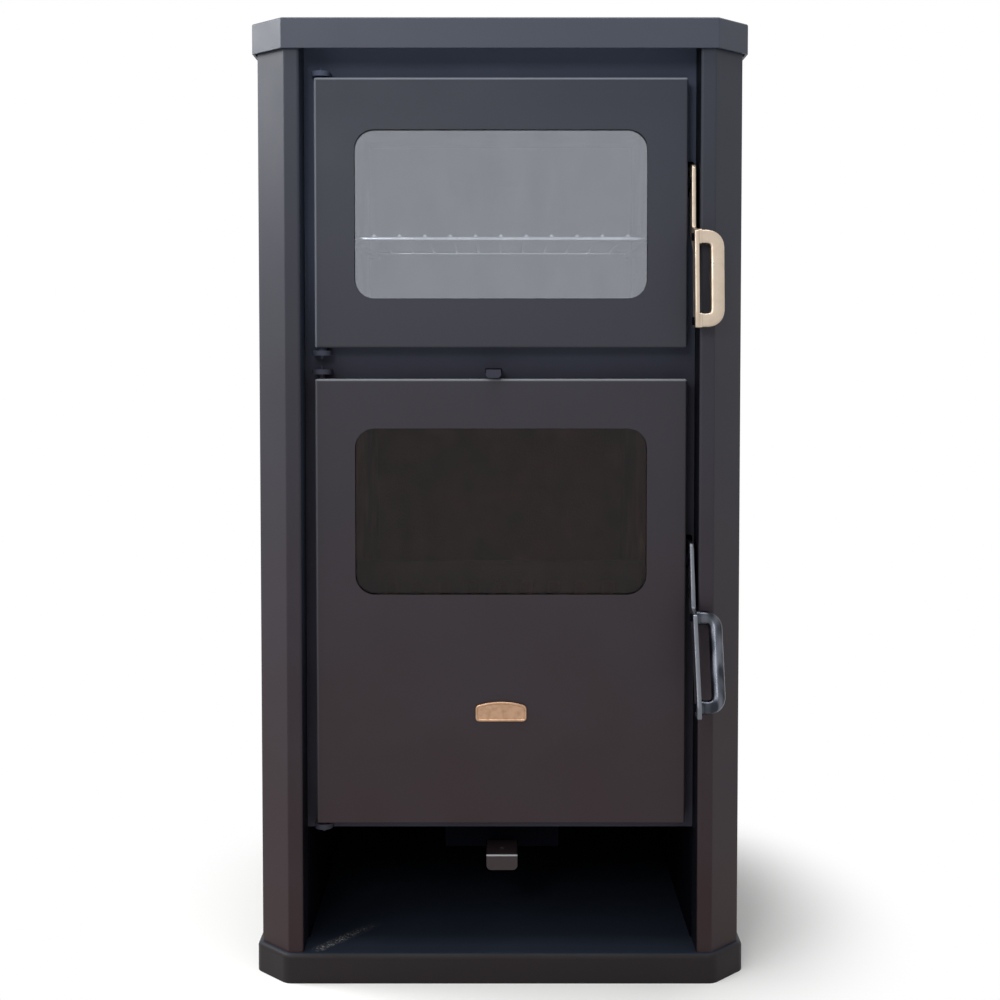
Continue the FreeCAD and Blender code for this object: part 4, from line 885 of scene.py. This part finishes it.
@dataclass
class StoveDoor:
    """A door's skin, pane and fittings, with the rope seal knitted round its back."""

    label: str
    low_mm: tuple[float, float]
    high_mm: tuple[float, float]
    paint: EdgeHighlightPaint
    pane: Pane
    rope_inset_mm: float = 21.0
    rope_corner_mm: float = 17.0
    rope_y_mm: float = 37.3 - SETBACK_MM
    rope_width_mm: float = 10.0
    rope_depth_mm: float = 8.6
    rope_power: float = 2.4
    swell_share: float = 0.1
    corner_steps: int = 12
    sharp_deg: float = 80.0
    stitch_mm: float = 9.0
    rows_per_stitch: int = 6
    columns: int = 20

    @property
    def body(self) -> str:
        """Name of the door's CAD body."""
        return self.label + "_door"

    def build(self) -> None:
        """Build the rope seal.

        A superellipse goes round a rectangle with soft corners. It swells where either of two opposite
        spirals passes: one less the swell, plus the swell times the larger of their squared cosines.
        """
        inset = self.rope_inset_mm
        low = (self.low_mm[0] + inset, self.low_mm[1] + inset)
        high = (self.high_mm[0] - inset, self.high_mm[1] - inset)
        square = np.array([low, (high[0], low[1]), high, (low[0], high[1])])
        line = soft_corners(square, np.array(self.rope_corner_mm), self.corner_steps)
        closed = np.concatenate([line, line[:1]])
        run = np.concatenate([[0.0], np.cumsum(np.linalg.norm(np.diff(closed, axis=0), axis=1))])
        stitches = round(run[-1] / self.stitch_mm)
        rows = stitches * self.rows_per_stitch
        along = np.linspace(0.0, run[-1], rows, endpoint=False)
        path = np.stack([np.interp(along, run, closed[:, 0]), np.interp(along, run, closed[:, 1])], axis=1)
        section = superellipse(self.rope_width_mm, self.rope_depth_mm, self.rope_power, self.columns)
        phase = np.pi * stitches * along[:, None] / run[-1]
        turn = 2.0 * np.linspace(0.0, 2.0 * np.pi, self.columns, endpoint=False)[None]
        crossing = np.maximum(np.cos(phase + turn) ** 2, np.cos(phase - turn) ** 2)
        swell = 1.0 - self.swell_share + self.swell_share * crossing
        flat = path[:, None] + outward(path)[:, None] * (section[:, 0] * swell)[..., None]
        depth = self.rope_y_mm + section[:, 1] * swell
        grid = np.stack([flat[..., 0], depth, flat[..., 1]], axis=-1) * MM
        piece = surface(self.label + "_knitted_seal", [grid], ROPE_KNIT.make(), ring=True,
                        sharp_deg=self.sharp_deg)
        seat(piece, self.body, "rope", self.label + "_rope_seal")

    def dress(self) -> None:
        """Paint the skin, glaze the window and plate the fittings."""
        dress((self.label + "_door_frame",), self.paint.make())
        dress((self.label + "_door_glass",), self.pane.make())
        dress((self.label + "_glass_gasket",), ROPE_KNIT.make())
        dress([self.label + part for part in ("_glass_clips", "_clip_screws")], ZINC_STEEL.make())
        # The latch pin and grip screws take the near-black painted shade of the wood store.
        dress([self.label + part for part in ("_latch_pin", "_grip_screws")], PAINT_LINER.make())


@dataclass
class DoorLatch:
    """A flat strap lever that hooks the case, with a D grip screwed to its outer face."""

    label: str
    slot: str
    lever: PlatedMetal
    grip: PlatedMetal
    bar: BarShape
    top_mm: float
    neck_mm: float
    knee_mm: float
    reach_mm: float
    grip_height_mm: float
    length_mm: float = 164.0
    head_mm: tuple[tuple[float, float], ...] = (
        (14.0, -4.0), (18.0, 0.0), (54.0, 0.0), (54.0, -10.0), (38.0, -14.0), (36.0, -26.0))
    width_mm: float = 17.0
    neck_drop_mm: float = 63.0
    knee_drop_mm: float = 68.0
    heel_mm: float = 20.0
    foot_mm: float = 12.0
    left_mm: float = 191.5
    right_mm: float = 196.0
    corner_mm: float = 1.9
    corner_steps: int = 6
    edge_mm: float = 0.9
    edge_steps: int = 5
    grip_width_mm: float = 25.0
    grip_bar_mm: float = 13.6
    grip_depth_mm: float = 12.0
    grip_bend_mm: float = 12.0
    grip_root_mm: float = 0.4
    collar_mm: float = 3.0
    collar_step_mm: float = 0.3
    collar_share: float = 1.1
    bend_steps: int = 14
    columns: int = 40

    @property
    def body(self) -> str:
        """Name of the latch's CAD body."""
        return self.label + "_latch"

    def build_strap(self, material: Material) -> None:
        """Build the strap: its outline at several depths, drawn in along a quarter circle at both faces.

        Args:
            material: the strap's finish.
        """
        neck, knee, foot = -self.neck_drop_mm, -self.knee_drop_mm, -self.length_mm
        heel = self.knee_mm + (self.reach_mm - self.knee_mm) * self.heel_mm / (knee - foot)
        arm = ((self.width_mm + self.neck_mm, knee), (self.width_mm - heel, knee - self.heel_mm),
               (self.width_mm - self.reach_mm, foot), (-self.reach_mm, foot),
               (-self.reach_mm, foot + self.foot_mm), (-self.knee_mm, knee), (self.neck_mm, neck))
        corners = np.array(self.head_mm + arm)[::-1]
        line = soft_corners(corners, np.array(self.corner_mm), self.corner_steps)
        quarter = np.linspace(0.0, np.pi / 2, self.edge_steps)
        inset = self.edge_mm * (1.0 - np.sin(quarter))
        inset = np.concatenate([inset, inset[::-1]])
        step = self.edge_mm * (1.0 - np.cos(quarter))
        across = np.concatenate([self.left_mm + step, self.right_mm - step[::-1]])
        side = line[None] - outward(line)[None] * inset[:, None, None]
        x = np.broadcast_to(across[:, None], side.shape[:2])
        grid = np.stack([x, side[..., 0] - SETBACK_MM, side[..., 1] + self.top_mm], axis=-1) * MM
        piece = surface(self.label + "_strap_lever", [grid], material)
        seat(piece, self.body, self.slot, self.label + "_latch_lever")

    def build_grip(self, material: Material) -> None:
        """Build the grip: a superellipse carried along a D-shaped path from the strap and back to it.

        The section is larger over the first millimetres of each leg, which makes the collars at the strap.

        Args:
            material: the grip's finish.
        """
        half = (self.grip_height_mm - self.grip_bar_mm) / 2
        root = self.right_mm - self.grip_root_mm
        reach = self.right_mm + self.grip_width_mm - self.grip_bar_mm / 2
        corners = np.array([(root, half), (reach, half), (reach, -half), (root, -half)])
        bow = soft_corners(corners, np.array(self.grip_bend_mm), self.bend_steps, closed=False)
        collar = root + np.array([0.0, self.collar_mm, self.collar_mm + self.collar_step_mm])
        upper = np.stack([collar, np.full_like(collar, half)], axis=1)
        path = np.concatenate([upper, bow[1:-1], upper[::-1] * np.array([1.0, -1.0])])
        size = np.ones(len(path))
        size[[0, 1, -2, -1]] = self.collar_share
        run = np.gradient(path, axis=0)
        run = run / np.linalg.norm(run, axis=1, keepdims=True)
        normal = np.stack([-run[:, 1], run[:, 0]], axis=1)
        section = superellipse(self.grip_bar_mm, self.grip_depth_mm, self.bar.value, self.columns)
        flat = path[:, None] + normal[:, None] * (size[:, None] * section[:, 0])[..., None]
        depth = size[:, None] * section[:, 1]
        drop = self.length_mm - self.knee_drop_mm
        forward = self.reach_mm - self.knee_mm
        lean = math.atan2(forward, drop)
        centre = self.width_mm / 2 - self.knee_mm - forward * (1.0 - self.grip_height_mm / 2 / drop)
        height = self.top_mm - self.length_mm + self.grip_height_mm / 2
        y = centre - SETBACK_MM + depth * math.cos(lean) + flat[..., 1] * math.sin(lean)
        z = height + flat[..., 1] * math.cos(lean) - depth * math.sin(lean)
        grid = np.stack([flat[..., 0], y, z], axis=-1) * MM
        piece = surface(self.label + "_bow_grip", [grid], material)
        seat(piece, self.body, self.slot, self.label + "_grip")

    def build(self) -> None:
        """Build the strap and the grip."""
        self.build_strap(self.lever.make())
        self.build_grip(self.grip.make())


@dataclass
class BadgePlate:
    """Small cast plate with a gently arched top and a rounded rim round a bare field."""

    left_mm: float = -25.0
    right_mm: float = 27.0
    low_mm: float = 262.8
    high_mm: float = 283.3
    shoulder_mm: float = 4.2
    back_y_mm: float = 20.0 - SETBACK_MM
    front_y_mm: float = 17.5 - SETBACK_MM
    rim_mm: float = 2.6
    rim_steps: int = 9
    sunk_mm: float = 0.9
    foot_corner_mm: float = 4.5
    shoulder_corner_mm: float = 4.0
    crest_corner_mm: float = 5.0
    corner_steps: int = 9

    def build(self) -> None:
        """Build the plate.

        Its outline is a box with soft corners whose top side rises to a blunt crest. Rows run from the back
        edge over the rim, round as half a sine wave, into the field; each one is drawn in by its own inset.
        """
        width = self.right_mm - self.left_mm
        middle = (self.left_mm + self.right_mm) / 2
        shoulder = self.high_mm - self.shoulder_mm
        crest = self.high_mm - self.shoulder_mm / 4
        foot, side, top = self.foot_corner_mm, self.shoulder_corner_mm, self.crest_corner_mm
        outline = np.array([(self.left_mm, self.low_mm, foot), (self.right_mm, self.low_mm, foot),
                            (self.right_mm, shoulder, side), (middle + width / 4, crest, top),
                            (middle, self.high_mm, top), (middle - width / 4, crest, top),
                            (self.left_mm, shoulder, side)])
        line = soft_corners(outline[:, :2], outline[:, 2], self.corner_steps)
        turn = np.linspace(0.0, np.pi, self.rim_steps)
        rim = np.stack([self.rim_mm / 2 * (1.0 - np.cos(turn)),
                        self.front_y_mm + self.sunk_mm * (1.0 - np.sin(turn))], axis=1)
        rows = np.concatenate([[(0.0, self.back_y_mm)], rim])
        flat = line[None] - outward(line)[None] * rows[:, 0, None, None]
        y = np.broadcast_to(rows[:, 1, None], flat.shape[:2])
        grid = np.stack([flat[..., 0], y, flat[..., 1]], axis=-1) * MM
        seat(surface("bare_badge", [grid], BRONZE_CAST.make()), "fire_door", "bronze", "badge_plate")


@dataclass(frozen=True)
class Lamp:
    """A soft rectangular lamp: where it hangs, the point it faces, its width and height, and its power."""

    name: str
    place_m: Point
    aim_m: Point
    size_m: tuple[float, float]
    watts: float

    def hang(self) -> None:
        """Put the lamp in the scene, turned so that its face looks along the line to its aim."""
        light = bpy.data.lights.new(self.name, "AREA")
        light.shape = "RECTANGLE"
        light.size, light.size_y = self.size_m
        light.energy = self.watts
        lamp = bpy.data.objects.new(self.name, light)
        lamp.location = self.place_m
        along, ahead, up = np.array(self.aim_m) - np.array(self.place_m)
        lamp.rotation_euler = (math.atan2(math.hypot(along, ahead), -up), 0.0, math.atan2(-along, ahead))
        bpy.context.scene.collection.objects.link(lamp)


LAMPS = (
    Lamp("key", (-1.5, -1.6, 1.9), aim_m=(0.0, -0.1, 0.75), size_m=(1.2, 1.2), watts=15.0),
    Lamp("front", (-0.55, -2.3, 1.45), aim_m=(0.0, -0.1, 0.7), size_m=(0.5, 0.5), watts=9.0),
    Lamp("left strip", (-1.6, 0.1, 1.45), aim_m=(-0.2, -0.1, 0.8), size_m=(0.7, 0.8), watts=23.5),
    Lamp("overhead", (0.0, -0.3, 2.3), aim_m=(0.0, -0.1, 0.9), size_m=(1.3, 0.8), watts=26.0),
    Lamp("right fill", (1.8, -1.2, 1.2), aim_m=(0.0, -0.1, 0.5), size_m=(1.0, 1.0), watts=0.6),
)


@dataclass
class Studio:
    """Pale floor, soft lamps, white surround and the camera at the photograph's viewing angle."""

    camera_place: Point = (0.0, -1.705, 0.642)
    camera_pitch_deg: float = 2.35
    lens_mm: float = 54.3
    shift_y: float = -0.09
    ambient: float = 0.35
    floor_half_m: float = 9.0
    floor_colour: str = "#F6F6F5"
    fade_start_m: float = 0.26
    fade_end_m: float = 0.47

    def background_share(self, tree: Tree) -> Socket:
        """Tell rays that see the background from light that falls on the object.

        Args:
            tree: node tree of the world or of the floor.

        Returns:
            A socket that is one for rays of the camera, of gloss and through glass, and nought for others.
        """
        share = add(tree, "LightPath", {}, "Is Camera Ray")
        rays = share.node.outputs
        for kind in ("Is Glossy Ray", "Is Transmission Ray"):
            share = add(tree, "Math", {0: share, 1: rays[kind]}, operation="MAXIMUM")
        return share

    def surround(self) -> None:
        """Make the world: white where it is seen, dimmer as a light."""
        world = bpy.data.worlds.new("White surround")
        world.use_nodes = True
        tree = world.node_tree
        tree.nodes.clear()
        strength = add(tree, "MapRange", {0: self.background_share(tree), 3: self.ambient, 4: 1.0})
        glow = add(tree, "Background", {"Color": WHITE, "Strength": strength})
        add(tree, "OutputWorld", {"Surface": glow})
        bpy.context.scene.world = world

    def floor(self) -> None:
        """Make the floor: pale and shaded near the stove, fading to white where its far parts are seen."""
        mesh = bpy.data.meshes.new("floor")
        reach = self.floor_half_m
        corners = [(-reach, -reach, 0.0), (reach, -reach, 0.0), (reach, reach, 0.0), (-reach, reach, 0.0)]
        mesh.from_pydata(corners, [], [(0, 1, 2, 3)])
        material = bpy.data.materials.new("Pale studio floor")
        material.use_nodes = True
        tree = material.node_tree
        tree.nodes.clear()
        place = add(tree, "TexCoord", {}, "Object")
        away = add(tree, "VectorMath", {0: place}, "Value", operation="LENGTH")
        fade = add(tree, "MapRange", {0: away, 1: self.fade_start_m, 2: self.fade_end_m},
                   interpolation_type="SMOOTHSTEP")
        share = add(tree, "Math", {0: fade, 1: self.background_share(tree)}, operation="MULTIPLY")
        matt = add(tree, "BsdfDiffuse", {"Color": linear(self.floor_colour)})
        white = add(tree, "Emission", {"Color": WHITE, "Strength": 1.0})
        mixed = add(tree, "MixShader", {0: share, 1: matt, 2: white})
        add(tree, "OutputMaterial", {"Surface": mixed})
        mesh.materials.append(material)
        plane = bpy.data.objects.new("floor", mesh)
        bpy.context.scene.collection.objects.link(plane)

    def build(self) -> None:
        """Set up the camera, the floor, the surround and the lamps."""
        scene = bpy.context.scene
        scene.view_settings.view_transform = "Standard"
        data = bpy.data.cameras.new("camera")
        data.lens = self.lens_mm
        data.shift_y = self.shift_y
        camera = bpy.data.objects.new("camera", data)
        camera.location = self.camera_place
        camera.rotation_euler = (math.radians(90.0 - self.camera_pitch_deg), 0.0, 0.0)
        scene.collection.objects.link(camera)
        scene.camera = camera
        self.surround()
        self.floor()
        for lamp in LAMPS:
            lamp.hang()
        LOG.info("studio ready")


def main() -> None:
    """Set up the studio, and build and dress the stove's sub-assemblies in order."""
    logging.basicConfig(level=logging.INFO)
    Studio().build()
    case = Case()
    case.dress()
    case.build()
    Recess().dress()
    Firebox().dress()
    for door in (StoveDoor("oven", low_mm=(-186.5, 642.5), high_mm=(188.5, 912.5),
                           paint=PAINT_OVEN_DOOR, pane=GLASS_OVEN),
                 StoveDoor("fire", low_mm=(-186.5, 157.5), high_mm=(188.5, 611.0),
                           paint=PAINT_FIRE_DOOR, pane=GLASS_FIRE)):
        door.build()
        door.dress()
    for latch in (DoorLatch("oven", "satin_nickel", NICKEL_HANDLE, NICKEL_HANDLE, BarShape.FLAT_FACED,
                            top_mm=826.0, neck_mm=11.0, knee_mm=12.0, reach_mm=20.0, grip_height_mm=96.5),
                  DoorLatch("fire", "handle_chrome", CHROME_LEVER, CHROME_GRIP, BarShape.ROUNDED,
                            top_mm=445.25, neck_mm=0.0, knee_mm=14.0, reach_mm=50.0, grip_height_mm=102.0)):
        latch.build()
    BadgePlate().build()


if __name__ == "__main__":
    main()
